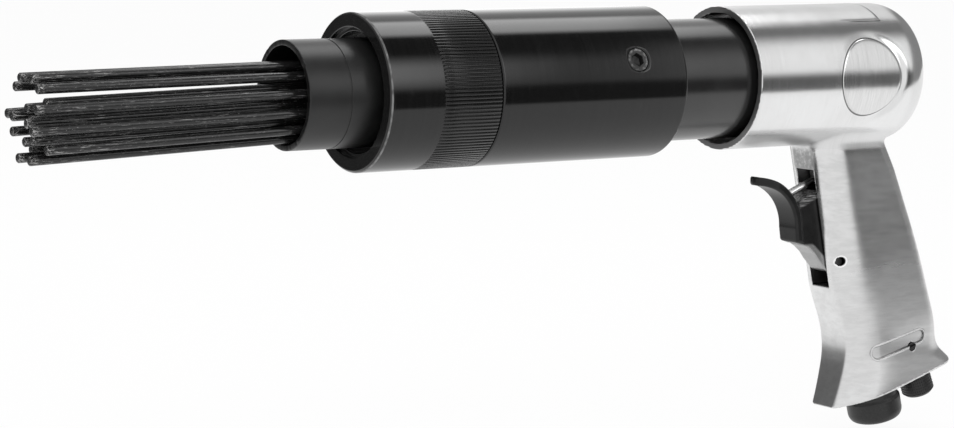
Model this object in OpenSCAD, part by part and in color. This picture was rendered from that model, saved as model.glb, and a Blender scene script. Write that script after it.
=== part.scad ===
/* [Casing] */
// Outer diameter of the front sleeve and the rear casing
casing_d = 51; // [48:0.5:56]
// Wall of the casing round the needle holder
casing_wall = 3.7; // [3:0.1:4.5]
// Length of the front sleeve
sleeve_len = 41.6; // [38:0.2:48]
// Length of the rear casing behind the sleeve
rear_casing_len = 72.9; // [66:0.1:84]
// Length of the thread that joins sleeve and casing
joint_thread_len = 12; // [8:0.5:14]
// Wall of the casing's male thread
joint_thread_wall = 1.7; // [1.4:0.1:2]
// Length of the knurled band
knurl_len = 21.5; // [14:0.1:24]
// Depth by which the core of the knurled band lies below the sleeve
knurl_relief = 0.15; // [0.05:0.05:0.4]
// Chamfer on the casing's outer edges
casing_chamfer = 0.8; // [0.3:0.1:1]
// Diameter of the sleeve's mouth
mouth_d = 41.6; // [40:0.2:43]
// Diameter of the step inside the mouth
mouth_step_d = 38.8; // [37:0.2:39.6]
// Depth of the wide first part of the mouth
mouth_lip = 2; // [1:0.2:3]
// Depth of the mouth down to the guide land
mouth_depth = 7.4; // [5:0.2:9]
// Length of the guide land round the nose tube
guide_len = 5; // [4:0.2:7]
// Diameter of the set screw in the rear casing
set_screw_d = 8; // [6:0.5:9]
// Hexagon socket of the set screw across flats
set_screw_key = 4; // [3:0.5:4.5]
// Distance of the set screw from the casing's rear end
set_screw_inset = 19.2; // [13:0.1:20]
// Angle of the set screw above the side of the casing
set_screw_angle = 21; // [-40:1:60]

/* [Nose tube] */
// Outer diameter of the nose tube
nose_d = 34.8; // [33.8:0.1:36]
// Wall of the nose tube
nose_wall = 1.8; // [1.4:0.1:1.8]
// Length of the nose tube in front of the casing
nose_reach = 24; // [18:0.2:32]
// Thickness of the flange at the nose tube's rear
nose_flange = 5; // [4:0.2:7]
// Distance of the turned line from the nose tube's front edge
nose_line_x = 14.7; // [8:0.1:16]
// Width of the turned line
nose_line_w = 0.4; // [0.3:0.1:0.8]
// Depth of the turned line
nose_line_h = 0.15; // [0.1:0.05:0.3]

/* [Needles] */
// Diameter of a needle
needle_d = 3; // [2.6:0.1:3]
// Length of a needle with its head
needle_len = 180; // [160:1:200]
// Diameter of a needle's head
head_d = 4.3; // [4:0.05:4.3]
// Length of a needle's head
head_len = 3; // [2:0.1:3.6]
// Chamfer at a needle's tip
tip_chamfer = 0.4; // [0.2:0.05:0.6]
// Radius of the inner circle of needles
ring_in = 5.5; // [5.4:0.05:5.6]
// Radius of the outer circle of needles
ring_out = 10.6; // [10.5:0.05:10.7]
// Needles in the inner circle
ring_in_count = 6; // [5:1:6]
// Needles in the outer circle
ring_out_count = 12; // [10:1:12]

/* [Needle holder] */
// Length of the needle holder
holder_len = 16; // [14:0.2:18]
// Length of the land that guides each needle
holder_land = 5; // [4:0.2:6]
// Height of the rim that centres the return spring
holder_rim = 3; // [2:0.2:4]
// Thickness of the rim that centres the return spring
holder_rim_wall = 2.4; // [1.6:0.1:2.8]

/* [Return spring] */
// Wire diameter of the return spring
return_wire = 2.8; // [2:0.1:3]
// Active turns of the return spring
return_turns = 5; // [4:0.5:6]

/* [Anvil and barrel] */
// Thickness of the anvil's head
anvil_head = 5.5; // [4.5:0.1:7]
// Diameter of the anvil's shank
shank_d = 14; // [12:0.5:16]
// Length of the anvil's shank behind its head
shank_len = 24; // [22:0.5:26]
// Thickness of the rubber bumper in front of the barrel
bumper_t = 1.8; // [1.2:0.1:2.4]
// Outer diameter of the barrel
barrel_d = 41.4; // [40.4:0.2:42]
// Diameter of the barrel's cylinder bore
bore_d = 24; // [22:0.5:25]
// Length of the barrel inside the rear casing
barrel_hold = 32.2; // [30:0.1:34]
// Length of the barrel that shows between casing and housing
barrel_reach = 31.6; // [24:0.1:38]
// Length of the barrel inside the housing
barrel_tail = 39.6; // [38:0.2:42]
// Length of the guide for the anvil's shank
shank_guide = 14.7; // [12:0.1:16]
// Length of the piston
piston_len = 45; // [40:0.5:46]
// Diameter of the exhaust ports
exhaust_d = 6; // [4:0.5:7]
// Diameter of the air passages along the barrel's wall
passage_d = 3; // [2:0.2:3.4]

/* [Reversing valve] */
// Length of the valve case
valve_case_len = 10; // [9:0.2:11]
// Length of the valve cap
valve_cap_len = 5; // [4.5:0.1:6]
// Diameter of the valve disc
disc_d = 18; // [16:0.2:19]
// Thickness of the valve disc
disc_t = 1.5; // [1.2:0.1:1.8]
// Travel of the valve disc
disc_travel = 0.6; // [0.4:0.05:0.8]

/* [Housing] */
// Outer diameter of the housing round the barrel
housing_d = 49.5; // [48.5:0.1:53]
// Inner diameter of the housing's open front
exhaust_gap_d = 45; // [44:0.2:45.6]
// Depth of the housing's open front
exhaust_gap_len = 24.6; // [20:0.2:26]
// Length of the housing from its rim to its round back
housing_len = 79.3; // [78:0.1:90]
// Length of the rounded part at the housing's back
dome_len = 14.1; // [12:0.1:16]
// Diameter of the round pad on each side
side_pad_d = 26.6; // [20:0.2:28]
// Distance of the round pads in front of the housing's back
side_pad_inset = 30.4; // [28:0.1:33]
// Height by which the round pads stand proud of the back's curve
side_pad_lift = 0.1; // [0.05:0.05:0.4]
// Length of the plate-shaped pad on top
top_pad_len = 21.3; // [16:0.1:24]
// Width of the plate-shaped pad on top
top_pad_w = 29.6; // [22:0.2:32]

/* [Grip] */
// Distance of the grip's front edge from the housing's rim
grip_inset = 37.9; // [34:0.1:42]
// Width of the grip between its flat sides
grip_w = 24; // [23:0.5:28]
// Width of the grip's base at its widest
grip_base_w = 26.4; // [25:0.2:30]
// Width of the grip's narrow front
grip_nose_w = 14.4; // [13.4:0.2:16]
// Rounding of the grip's front edges
grip_nose_r = 2.6; // [1.6:0.2:3]
// Rounding of the grip's rear edges
grip_back_r = 5; // [3:0.5:7]
// Slope of the grip's base in degrees
base_slope = 14; // [12:0.5:16]
// Height of the grip's front toe below the barrel's axis
toe_drop = 120.2; // [118:0.2:123]

/* [Trigger] */
// Width of the slot for the trigger
slot_w = 9.3; // [9:0.1:10]
// Top of the slot below the barrel's axis
slot_top = 33.7; // [32.5:0.1:34.5]
// Bottom of the slot below the barrel's axis
slot_bottom = 76; // [74:0.2:80]
// Depth of the slot behind the grip's front
slot_depth = 8.5; // [8.2:0.1:9.5]
// Width of the trigger's finger plate
trigger_w = 10.4; // [10:0.2:12]
// Thickness of the trigger's finger plate
trigger_t = 3; // [2.4:0.1:3.2]
// Radius of the trigger's hollow finger face
finger_r = 15.8; // [15:0.1:16.4]
// Length of the trigger's hooked tip
hook_len = 0.6; // [0.2:0.1:3]
// Diameter of the trigger pin and the regulator pin
pin_d = 2.92; // [2.6:0.02:3]

/* [Throttle valve] */
// Slope of the throttle valve's axis in degrees
throttle_slope = 22; // [20:0.5:24]
// Diameter of the throttle stem
stem_d = 2.8; // [2.4:0.1:3.2]
// Diameter of the throttle bushing
bushing_d = 8; // [7.4:0.1:8.4]
// Length of the throttle bushing
bushing_len = 9; // [8:0.2:10]
// Diameter of the throttle ball
ball_d = 6; // [5.6:0.1:6.4]
// Thickness of the throttle seat
seat_t = 1.5; // [1.2:0.1:2]
// Wire diameter of the throttle spring
throttle_wire = 0.6; // [0.5:0.05:0.7]
// Active turns of the throttle spring
throttle_turns = 3; // [2:0.5:3.5]
// Length of the throttle spring
throttle_spring_len = 7; // [6.4:0.1:7.6]

/* [Air inlet] */
// Diameter of the inlet bushing's round head
inlet_d = 19.8; // [18:0.2:21]
// Height of the inlet bushing's head below the base
inlet_head = 12.5; // [10:0.2:15]
// Distance of the inlet's axis behind the toe along the base
inlet_back = 22.6; // [22:0.1:23.6]
// Bore of the quarter inch pipe thread
inlet_bore_d = 11.4; // [11:0.1:12]
// Depth of the pipe thread
inlet_bore_len = 18; // [14:0.5:20]
// Diameter of the bushing's thread in the grip
inlet_spigot_d = 15.8; // [15:0.2:16.4]
// Length of the bushing's thread in the grip
inlet_spigot = 15; // [13:0.5:17]
// Diameter of the air passage through the grip
grip_passage_d = 7; // [5:0.5:7.6]

/* [Air regulator] */
// Diameter of the regulator's knob
knob_d = 12; // [11:0.2:13]
// Height of the regulator's knob below the base
knob_len = 10.3; // [8:0.1:12]
// Distance of the regulator's axis behind the toe along the base
knob_back = 42.4; // [41.6:0.1:43.4]
// Slope of the regulator's axis in degrees
knob_slope = 21; // [20:0.5:22]
// Diameter of the regulator's stem
regulator_d = 10.8; // [10:0.1:11.2]
// Length of the regulator's stem above the base
regulator_len = 24; // [22:0.5:25]
// Height of the retaining pin along the stem
retain_height = 12.7; // [12:0.1:14]

/* [Plaque] */
// Length of the recess for the plaque on the grip
plaque_len = 25.6; // [20:0.2:27]
// Height of the recess for the plaque
plaque_h = 5.3; // [4:0.1:6]
// Depth of the recess for the plaque
plaque_depth = 0.6; // [0.3:0.1:1]
// Slope of the plaque in degrees
plaque_slope = 13; // [10:0.5:16]

/* [Hidden] */
$fn = 96;
run_gap = 0.1;        // radial gap of a sliding fit on a large diameter
fit_gap = 0.05;       // radial gap of a close fit and of a screwed joint
hinge_gap = 0.08;     // radial gap of the trigger on its pin
pin_hole_gap = 0.04;  // radial gap of a pin in the housing
needle_gap = 0.35;    // radial gap of a needle in its land
head_gap = 0.375;     // radial gap of a head in its pocket
bumper_gap = 1.3;     // radial gap of the rubber bumper in the casing
shank_clearance = 3;  // radial gap of the rubber bumper round the anvil's shank
end_gap = 0.1;        // axial gap that a moving piece keeps at its stop

casing_r = casing_d / 2;
casing_bore = casing_r - casing_wall;
nose_x = -nose_reach - sleeve_len - rear_casing_len / 2;
sleeve_x = nose_x + nose_reach;
joint_x = sleeve_x + sleeve_len;
casing_end_x = joint_x + rear_casing_len;
shoulder_x = sleeve_x + mouth_depth + guide_len;
spigot_x = joint_x - joint_thread_len;
spigot_r = casing_bore + joint_thread_wall;
flange_end_x = shoulder_x + nose_flange;
barrel_x = casing_end_x - barrel_hold;
barrel_r = barrel_d / 2;
housing_x = casing_end_x + barrel_reach;
housing_r = housing_d / 2;
housing_end_x = housing_x + housing_len;
valve_x = housing_x + barrel_tail;
valve_cap_x = valve_x + valve_case_len;
chamber_x = valve_cap_x + valve_cap_len;
chamber_len = 5;
chamber_r = 15;
exhaust_inset = 12;
bumper_x = barrel_x - bumper_t;
anvil_x = bumper_x - anvil_head;
holder_x = anvil_x - holder_len;
holder_r = casing_bore - run_gap;
cylinder_x = barrel_x + shank_guide;
shank_end_x = bumper_x + shank_len;
piston_rest_gap = 0.5;
piston_x = valve_x - piston_rest_gap - piston_len;
passage_ring = (barrel_r + bore_d / 2) / 2;
return_r = holder_r - return_wire / 2 - 0.4;

// Needles: number 0 is the centre, then the inner and the outer circle.
needle_count = 1 + ring_in_count + ring_out_count;
pocket_floor_x = holder_x + holder_land;
needle_play = anvil_x - pocket_floor_x - head_len - 2 * end_gap;
head_mid_x = pocket_floor_x + end_gap + needle_play / 2;
needle_pivot_x = holder_x + 7;
// How far each needle has slid back (above 0) or forward (below 0), seen in millimetres
needle_push = [0.1, -3.5, 3.8, 0.2, -3.2, -0.7, -0.5, -2.3, -0.6, -0.4, -1.8, -1.3, -2.9,
    -1.4, 3.4, -2.8, -1.5, 1.8, -3.9];
// How far each needle's tip hangs below its place in the holder, seen in millimetres
needle_drop = [4.5, 4.8, 4, 5.8, 3.4, 6.2, 5.3, 3.3, 2.2, 2.1, 2.1, 2.2, 5.6,
    5.6, 6.3, 5.4, 5.9, 5.3, 4.1];

function is_inner(i) = i <= ring_in_count;
function needle_angle(i) = i == 0 ? 0
    : is_inner(i) ? (i - 1) * 360 / ring_in_count
    : (i - ring_in_count - 0.5) * 360 / ring_out_count;
function needle_ring(i) = i == 0 ? 0 : is_inner(i) ? ring_in : ring_out;
function needle_y(i) = -needle_ring(i) * cos(needle_angle(i));
function needle_z(i) = needle_ring(i) * sin(needle_angle(i));
function needle_head_x(i) = head_mid_x + max(-needle_play / 2, min(needle_play / 2, needle_push[i]));
function needle_front(i) = needle_len - (needle_head_x(i) + head_len - needle_pivot_x);
function needle_tilt(i) = asin(needle_drop[i] / needle_front(i));

// Grip outline: height below the barrel's axis, distance behind the grip's front datum.
grip_x = housing_x + grip_inset;
grip_front_line = [[10, -2.9], [24, 0], [76, 9.9], [82, 12.1], [88, 14.7], [94, 16.4], [99, 16.8],
    [104, 16.3], [110, 14.9], [116, 13.2], [121, 11.5], [130, 9]];
grip_back_line = [[10, 25], [24, 30.4], [34, 35.7], [45, 40.3], [56, 45], [66, 48.9], [76, 52.3],
    [84, 55.1], [90, 57.2], [96.8, 59.5], [99.6, 61.1], [101.8, 63.1], [103.9, 65.9], [105.1, 67.6],
    [107, 68.8], [112, 69.6], [130, 70]];
grip_side_line = [[10, 0], [90, 0], [100, 0.25], [108, 0.7], [114, 1], [130, 1]];
grip_nose_line = [[10, 1], [95, 1], [108, 0.9], [116, 0.82], [122, 0.76], [130, 0.76]];
grip_heel_line = [[10, 0], [90, 0], [107, 1], [130, 1]];
grip_levels = [10, 24, 34, 45, 56, 66, 76, 82, 88, 94, 99, 101.8, 103.9, 105.5, 107.5, 112, 117, 122, 130];
heel_round = 3;       // how much larger the rear rounding gets at the heel
heel_taper = 2.4;     // how much narrower each side gets towards the heel
grip_flank = 13;      // length over which the grip widens behind its front
nose_steps = [0, 30, 60, 90];
flank_steps = [0.35, 0.7, 1];
back_steps = [90, 60, 30, 0];

function front_x(h) = grip_x + lookup(h, grip_front_line);
function back_x(h) = grip_x + lookup(h, grip_back_line);
function half_w(h) = grip_w / 2 + (grip_base_w - grip_w) / 2 * lookup(h, grip_side_line);
function nose_w(h) = grip_nose_w / 2 * lookup(h, grip_nose_line);
function heel_r(h) = grip_back_r + heel_round * lookup(h, grip_heel_line);
function heel_w(h) = half_w(h) - heel_taper * lookup(h, grip_heel_line);
function flank_w(h, u) = nose_w(h) + (half_w(h) - nose_w(h)) * smooth(u / grip_flank);
function smooth(t) = t >= 1 ? 1 : t * (2 - t);
function grip_half(h) = concat(
    [for (a = nose_steps) let (u = grip_nose_r * (1 - cos(a)))
        [front_x(h) + u, flank_w(h, u) - grip_nose_r * (1 - sin(a))]],
    [for (f = flank_steps) let (u = grip_nose_r + f * (grip_flank - grip_nose_r))
        [front_x(h) + u, flank_w(h, u)]],
    [for (a = back_steps) [back_x(h) - heel_r(h) * (1 - cos(a)), heel_w(h) - heel_r(h) * (1 - sin(a))]]
);
function flip(points) = [for (i = [len(points) - 1 : -1 : 0]) [points[i][0], -points[i][1]]];
function grip_ring(h) = let (half = grip_half(h)) [for (p = concat(half, flip(half))) [p[0], p[1], -h]];

// Base of the grip, and points on it at a distance behind the toe.
toe_x = grip_x + 12;
function base_z(x) = -toe_drop + (x - toe_x) * tan(base_slope);
inlet_x = toe_x + inlet_back;
inlet_z = base_z(inlet_x);
knob_x = toe_x + knob_back;
knob_z = base_z(knob_x);
inlet_bore_r = inlet_bore_d / 2;
screen_t = 2.5;
screen_r = inlet_spigot_d / 2 - 1.2;
passage_top = inlet_spigot + screen_t + fit_gap;
regulator_port = 18.4;
regulator_port_r = 2.3;

// Retaining pin of the regulator, beside the stem's axis.
retain_groove_r = regulator_d / 2 - 1.76;
retain_offset = retain_groove_r + pin_d / 2 + end_gap;
retain_x = knob_x - retain_height * sin(knob_slope) - retain_offset * cos(knob_slope);
retain_z = knob_z + retain_height * cos(knob_slope) - retain_offset * sin(knob_slope);

// Trigger: pin, centre of the finger arc and throttle axis, all from the slot.
pin_h = slot_bottom - 9.7;
pin_x = front_x(pin_h) + 3.5;
pin_z = -pin_h;
finger_ahead = 33;
finger_above = 12.3;
finger_x = pin_x - finger_ahead;
finger_z = pin_z + finger_above;
plate_r = finger_r + trigger_t;
tail_r = 4.4;
throttle_ahead = 18.7;
throttle_above = 13;
throttle_x = finger_x + throttle_ahead;
throttle_z = finger_z + throttle_above;
bushing_s = 11.5;
seat_s = bushing_s + bushing_len;
seat_bore_r = 2;
ball_s = seat_s + seat_t + sqrt(pow(ball_d / 2, 2) - pow(seat_bore_r, 2));
spring_s = ball_s + ball_d / 2 + fit_gap;
throttle_end_s = spring_s + throttle_spring_len;
throttle_bore_r = bushing_d / 2 + fit_gap;
port_s = seat_s - 2.5;
port_r = 2;
// Distance from the throttle's datum forward to the back of the finger plate, along the stem
reach_b = throttle_ahead * cos(throttle_slope) + throttle_above * sin(throttle_slope);
reach_c = pow(throttle_ahead, 2) + pow(throttle_above, 2) - pow(plate_r, 2);
stem_reach = reach_b - sqrt(reach_b * reach_b - reach_c) - end_gap;

// Solid of revolution about the barrel's axis from points given as distance along it and radius
module turned(points) {
    rotate([0, 90, 0])
        rotate_extrude()
            polygon([for (p = points) [p[1], p[0]]]);
}

// Plain round bar along the barrel's axis
module bar(x, len, r) {
    translate([x, 0, 0])
        rotate([0, 90, 0])
            cylinder(h = len, r = r);
}

// Round bar between two points of the middle plane
module link(x1, z1, x2, z2, r) {
    run = sqrt(pow(x2 - x1, 2) + pow(z2 - z1, 2));
    translate([x1, 0, z1])
        rotate([0, atan2(x2 - x1, z2 - z1), 0])
            cylinder(h = run, r = r);
}

// Round bar across the tool
module cross_pin(x, z, r, len) {
    translate([x, len / 2, z])
        rotate([90, 0, 0])
            cylinder(h = len, r = r);
}

// Places children on the throttle's axis, which then runs along +Z from its datum
module on_throttle() {
    translate([throttle_x, 0, throttle_z])
        rotate([0, 90 - throttle_slope, 0])
            children();
}

// Places children on the inlet's axis, with +Z up into the grip and 0 at the base
module on_inlet() {
    translate([inlet_x, 0, inlet_z])
        rotate([0, -base_slope, 0])
            children();
}

// Places children on the regulator's axis, with +Z up into the grip and 0 at the base
module on_regulator() {
    translate([knob_x, 0, knob_z])
        rotate([0, -knob_slope, 0])
            children();
}

// Wound springs: one closed tube of rings along a helix with a dead turn at each end.
curl_rings = 8;
curl_sides = 6;
dead_gap = 0.5;
function wind(t, turns, wire, len) =
    let (dead = wire + dead_gap, rest = len - wire - 2 * dead, active = turns)
    t < 1 ? t * dead
    : t > 1 + active ? dead + rest + (t - 1 - active) * dead
    : dead + (t - 1) * rest / active;
function coil_point(i, r, wire, turns, len) =
    let (t = i / curl_rings)
    [r * cos(360 * t), r * sin(360 * t), wire / 2 + wind(t, turns, wire, len)];
function coil_path(r, wire, turns, len) =
    [for (i = [0 : curl_rings * (turns + 2)]) coil_point(i, r, wire, turns, len)];
function unit(v) = v / norm(v);
function tube_ring(path, i, r) =
    let (
        ahead = path[min(i + 1, len(path) - 1)] - path[max(i - 1, 0)],
        along = unit(ahead),
        out = unit([path[i][0], path[i][1], 0]),
        side = unit(cross(along, out)),
        up = cross(side, along)
    )
    [for (k = [0 : curl_sides - 1]) path[i] + r * (cos(360 * k / curl_sides) * up + sin(360 * k / curl_sides) * side)];
function least_gap(path, wire) =
    min([for (i = [0 : len(path) - 1 - curl_rings]) norm(path[i + curl_rings] - path[i])]) - wire;

module coil(path, wire) {
    rings = len(path);
    skin = [for (i = [0 : rings - 1]) each tube_ring(path, i, wire / 2)];
    last = rings * curl_sides;
    points = concat(skin, [path[0], path[rings - 1]]);
    sides = [for (i = [0 : rings - 2], k = [0 : curl_sides - 1])
        let (a = i * curl_sides + k, b = i * curl_sides + (k + 1) % curl_sides)
        each [[a, b, b + curl_sides], [a, b + curl_sides, a + curl_sides]]];
    start = [for (k = [0 : curl_sides - 1]) [last, (k + 1) % curl_sides, k]];
    end = [for (k = [0 : curl_sides - 1])
        [last + 1, last - curl_sides + k, last - curl_sides + (k + 1) % curl_sides]];
    polyhedron(points = points, faces = concat(sides, start, end));
}

return_len = holder_x - flange_end_x - 2 * end_gap;
return_path = coil_path(return_r, return_wire, return_turns, return_len);
throttle_coil_r = 2.2;
throttle_path = coil_path(throttle_coil_r, throttle_wire, throttle_turns, throttle_spring_len - end_gap);
echo(return_spring_least_gap = least_gap(return_path, return_wire));
echo(throttle_spring_least_gap = least_gap(throttle_path, throttle_wire));

module nose_tube() {
    outer = nose_d / 2;
    inner = outer - nose_wall;
    edge = 0.3;
    line_x = nose_x + nose_line_x;
    color("#1b1b1d")
        turned([
            [nose_x, inner + edge],
            [nose_x, outer - edge],
            [nose_x + edge, outer],
            [line_x, outer],
            [line_x, outer - nose_line_h],
            [line_x + nose_line_w, outer - nose_line_h],
            [line_x + nose_line_w, outer],
            [shoulder_x, outer],
            [shoulder_x, holder_r],
            [flange_end_x, holder_r],
            [flange_end_x, inner],
            [nose_x + edge, inner]
        ]);
}

module front_sleeve() {
    guide = nose_d / 2 + run_gap;
    knurl_x = joint_x - knurl_len;
    color("#151517")
        turned([
            [sleeve_x, mouth_d / 2 + 0.3],
            [sleeve_x, casing_r - casing_chamfer],
            [sleeve_x + casing_chamfer, casing_r],
            [knurl_x, casing_r],
            [knurl_x, casing_r - knurl_relief],
            [joint_x - casing_chamfer, casing_r - knurl_relief],
            [joint_x, casing_r - casing_chamfer],
            [joint_x, spigot_r + fit_gap],
            [spigot_x, spigot_r + fit_gap],
            [spigot_x, casing_bore],
            [shoulder_x, casing_bore],
            [shoulder_x, guide],
            [sleeve_x + mouth_depth, guide],
            [sleeve_x + mouth_depth, mouth_step_d / 2],
            [sleeve_x + mouth_lip, mouth_step_d / 2],
            [sleeve_x + mouth_lip, mouth_d / 2],
            [sleeve_x + 0.3, mouth_d / 2]
        ]);
}

module rear_casing() {
    screw_x = casing_end_x - set_screw_inset;
    color("#151517")
        difference() {
            turned([
                [joint_x, spigot_r],
                [joint_x, casing_r - casing_chamfer],
                [joint_x + casing_chamfer, casing_r],
                [casing_end_x - casing_chamfer, casing_r],
                [casing_end_x, casing_r - casing_chamfer],
                [casing_end_x, barrel_r + fit_gap],
                [barrel_x, barrel_r + fit_gap],
                [barrel_x, casing_bore],
                [spigot_x, casing_bore],
                [spigot_x, spigot_r]
            ]);
            translate([screw_x, 0, 0])
                rotate([90 - set_screw_angle, 0, 0])
                    cylinder(h = casing_d, r = set_screw_d / 2 + fit_gap);
        }
}

module casing_set_screw() {
    screw_x = casing_end_x - set_screw_inset;
    low = barrel_r + 0.3;
    high = casing_r - 0.3;
    color("#222224")
        translate([screw_x, 0, 0])
            rotate([90 - set_screw_angle, 0, 0])
                difference() {
                    translate([0, 0, low])
                        cylinder(h = high - low, r = set_screw_d / 2);
                    translate([0, 0, high - 2.6])
                        cylinder(h = 3, r = set_screw_key / 2 / cos(30), $fn = 6);
                }
}

module return_spring() {
    color("#3a3a3d")
        translate([flange_end_x + end_gap, 0, 0])
            rotate([0, 90, 0])
                coil(return_path, return_wire);
}

module needle_holder() {
    rim_r = return_r * cos(180 / curl_rings) - return_wire / 2 - 0.3;
    chamfer = 0.5;
    color("#4a4a4d")
        difference() {
            turned([
                [holder_x, 0],
                [holder_x, rim_r - holder_rim_wall],
                [holder_x - holder_rim, rim_r - holder_rim_wall],
                [holder_x - holder_rim, rim_r],
                [holder_x, rim_r],
                [holder_x, holder_r - chamfer],
                [holder_x + chamfer, holder_r],
                [anvil_x - chamfer, holder_r],
                [anvil_x, holder_r - chamfer],
                [anvil_x, 0]
            ]);
            for (i = [0 : needle_count - 1])
                translate([0, needle_y(i), needle_z(i)]) {
                    bar(holder_x - 1, holder_len + 2, needle_d / 2 + needle_gap);
                    bar(pocket_floor_x, holder_len, head_d / 2 + head_gap);
                }
        }
}

// One needle, hanging a little from its land as the loose bundle does
module needle(i) {
    front = needle_front(i);
    back = needle_len - front;
    color("#2b2b2d")
        translate([needle_pivot_x, needle_y(i), needle_z(i)])
            rotate([0, -needle_tilt(i), 0])
                turned([
                    [-front, 0],
                    [-front, needle_d / 2 - tip_chamfer],
                    [tip_chamfer - front, needle_d / 2],
                    [back - head_len, needle_d / 2],
                    [back - head_len, head_d / 2],
                    [back - 0.3, head_d / 2],
                    [back, head_d / 2 - 0.3],
                    [back, 0]
                ]);
}

module anvil() {
    chamfer = 0.6;
    shank_r = shank_d / 2;
    color("#5a5a5e")
        turned([
            [anvil_x, 0],
            [anvil_x, holder_r - chamfer],
            [anvil_x + chamfer, holder_r],
            [bumper_x - chamfer, holder_r],
            [bumper_x, holder_r - chamfer],
            [bumper_x, shank_r],
            [shank_end_x - 1, shank_r],
            [shank_end_x, shank_r - 1],
            [shank_end_x, 0]
        ]);
}

module anvil_bumper() {
    color("#101010")
        difference() {
            bar(bumper_x, bumper_t, casing_bore - bumper_gap);
            bar(bumper_x - 1, bumper_t + 2, shank_d / 2 + shank_clearance);
        }
}

module barrel() {
    groove_x = housing_x + exhaust_gap_len + 4;
    guide_r = shank_d / 2 + fit_gap;
    color("#202022")
        difference() {
            turned([
                [barrel_x, guide_r],
                [barrel_x, barrel_r],
                [groove_x, barrel_r],
                [groove_x, barrel_r - 1.9],
                [groove_x + 2.6, barrel_r - 1.9],
                [groove_x + 2.6, barrel_r],
                [valve_x, barrel_r],
                [valve_x, bore_d / 2],
                [cylinder_x, bore_d / 2],
                [cylinder_x, guide_r]
            ]);
            for (a = [0 : 90 : 270])
                rotate([a, 0, 0]) {
                    translate([0, 0, passage_ring])
                        bar(cylinder_x + 2, valve_x, passage_d / 2);
                    translate([cylinder_x + 4, 0, 0])
                        cylinder(h = passage_ring, r = passage_d / 2 - 0.3);
                }
            for (a = [45 : 90 : 315])
                rotate([a, 0, 0])
                    translate([housing_x + exhaust_inset, 0, 0])
                        cylinder(h = casing_d, r = exhaust_d / 2);
            dowel_hole();
        }
}

module barrel_o_ring() {
    groove_x = housing_x + exhaust_gap_len + 4;
    section = 0.9;
    color("#101010")
        translate([groove_x + 1.3, 0, 0])
            rotate([0, 90, 0])
                rotate_extrude()
                    translate([barrel_r - 1.9 + section + fit_gap, 0])
                        circle(r = section, $fn = 32);
}

module piston() {
    r = bore_d / 2 - fit_gap;
    end = piston_x + piston_len;
    groove = 0.5;
    color("#8c8d90")
        turned([
            [piston_x, 0],
            [piston_x, r - 3],
            [piston_x + 6, r - 3],
            [piston_x + 6, r - 0.5],
            [piston_x + 6.5, r],
            [piston_x + 14, r],
            [piston_x + 14, r - groove],
            [piston_x + 15.5, r - groove],
            [piston_x + 15.5, r],
            [end - 9.5, r],
            [end - 9.5, r - groove],
            [end - 8, r - groove],
            [end - 8, r],
            [end - 0.5, r],
            [end, r - 0.5],
            [end, r / 2],
            [end - 12, r / 2],
            [end - 12, 0]
        ]);
}

valve_r = barrel_r - fit_gap;
disc_r = disc_d / 2;
disc_pocket = disc_t + disc_travel + 2 * end_gap;

// Hole for the dowel that keeps the barrel and the valve in line
dowel_d = 2.5;
module dowel_hole() {
    rotate([45, 0, 0])
        translate([0, 0, passage_ring])
            bar(valve_x - 5, chamber_x - valve_x + 3, dowel_d / 2 + pin_hole_gap);
}

module valve_case() {
    color("#6b6c70")
        difference() {
            bar(valve_x, valve_case_len, valve_r);
            bar(valve_x - 1, valve_case_len, disc_r - 4);
            bar(valve_cap_x - disc_pocket, valve_case_len, disc_r + run_gap);
            for (a = [0 : 90 : 270])
                rotate([a, 0, 0])
                    union() {
                        translate([0, 0, passage_ring])
                            bar(valve_x - 1, valve_case_len + 2, passage_d / 2);
                        translate([valve_cap_x - 1, -1, 0])
                            cube([2, 2, passage_ring]);
                    }
            dowel_hole();
        }
}

module valve_disc() {
    color("#b9babd")
        turned([
            [valve_cap_x - disc_pocket + end_gap, 2],
            [valve_cap_x - disc_pocket + end_gap, disc_r],
            [valve_cap_x - disc_pocket + end_gap + disc_t, disc_r],
            [valve_cap_x - disc_pocket + end_gap + disc_t, 2]
        ]);
}

module valve_cap() {
    color("#6b6c70")
        difference() {
            bar(valve_cap_x, valve_cap_len, valve_r);
            for (a = [0 : 60 : 300])
                rotate([a, 0, 0])
                    translate([0, 0, disc_r - 2.5])
                        bar(valve_cap_x - 1, valve_cap_len + 2, 1.5);
            dowel_hole();
        }
}

module valve_dowel() {
    color("#c4c5c8")
        rotate([45, 0, 0])
            translate([0, 0, passage_ring])
                bar(valve_x - 4.8, chamber_x - valve_x + 2.6, dowel_d / 2);
}

// The grip's outer form, from rings of points at each level
module grip_form() {
    ring = grip_ring(grip_levels[0]);
    n = len(ring);
    levels = len(grip_levels);
    skin = [for (h = grip_levels) each grip_ring(h)];
    mid_top = [grip_x + 14, 0, -grip_levels[0]];
    mid_low = [grip_x + 40, 0, -grip_levels[levels - 1]];
    points = concat(skin, [mid_top, mid_low]);
    sides = [for (i = [0 : levels - 2], k = [0 : n - 1])
        let (a = i * n + k, b = i * n + (k + 1) % n)
        each [[a, b + n, b], [a, a + n, b + n]]];
    top = [for (k = [0 : n - 1]) [levels * n, k, (k + 1) % n]];
    low = [for (k = [0 : n - 1]) [levels * n + 1, (levels - 1) * n + (k + 1) % n, (levels - 1) * n + k]];
    polyhedron(points = points, faces = concat(sides, top, low));
}

// The housing's round back, drawn as a full round nose that meets the tube without a step
dome_power = 3.15;
module housing_form() {
    start = housing_end_x - dome_len;
    steps = 14;
    turned(concat(
        [[housing_x, 0], [housing_x, housing_r - 0.5], [housing_x + 0.5, housing_r], [start, housing_r]],
        [for (i = [1 : steps]) let (a = 90 * i / steps)
            [start + dome_len * pow(sin(a), 2 / dome_power),
                i == steps ? 0 : housing_r * pow(cos(a), 2 / dome_power)]]
    ));
}

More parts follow.
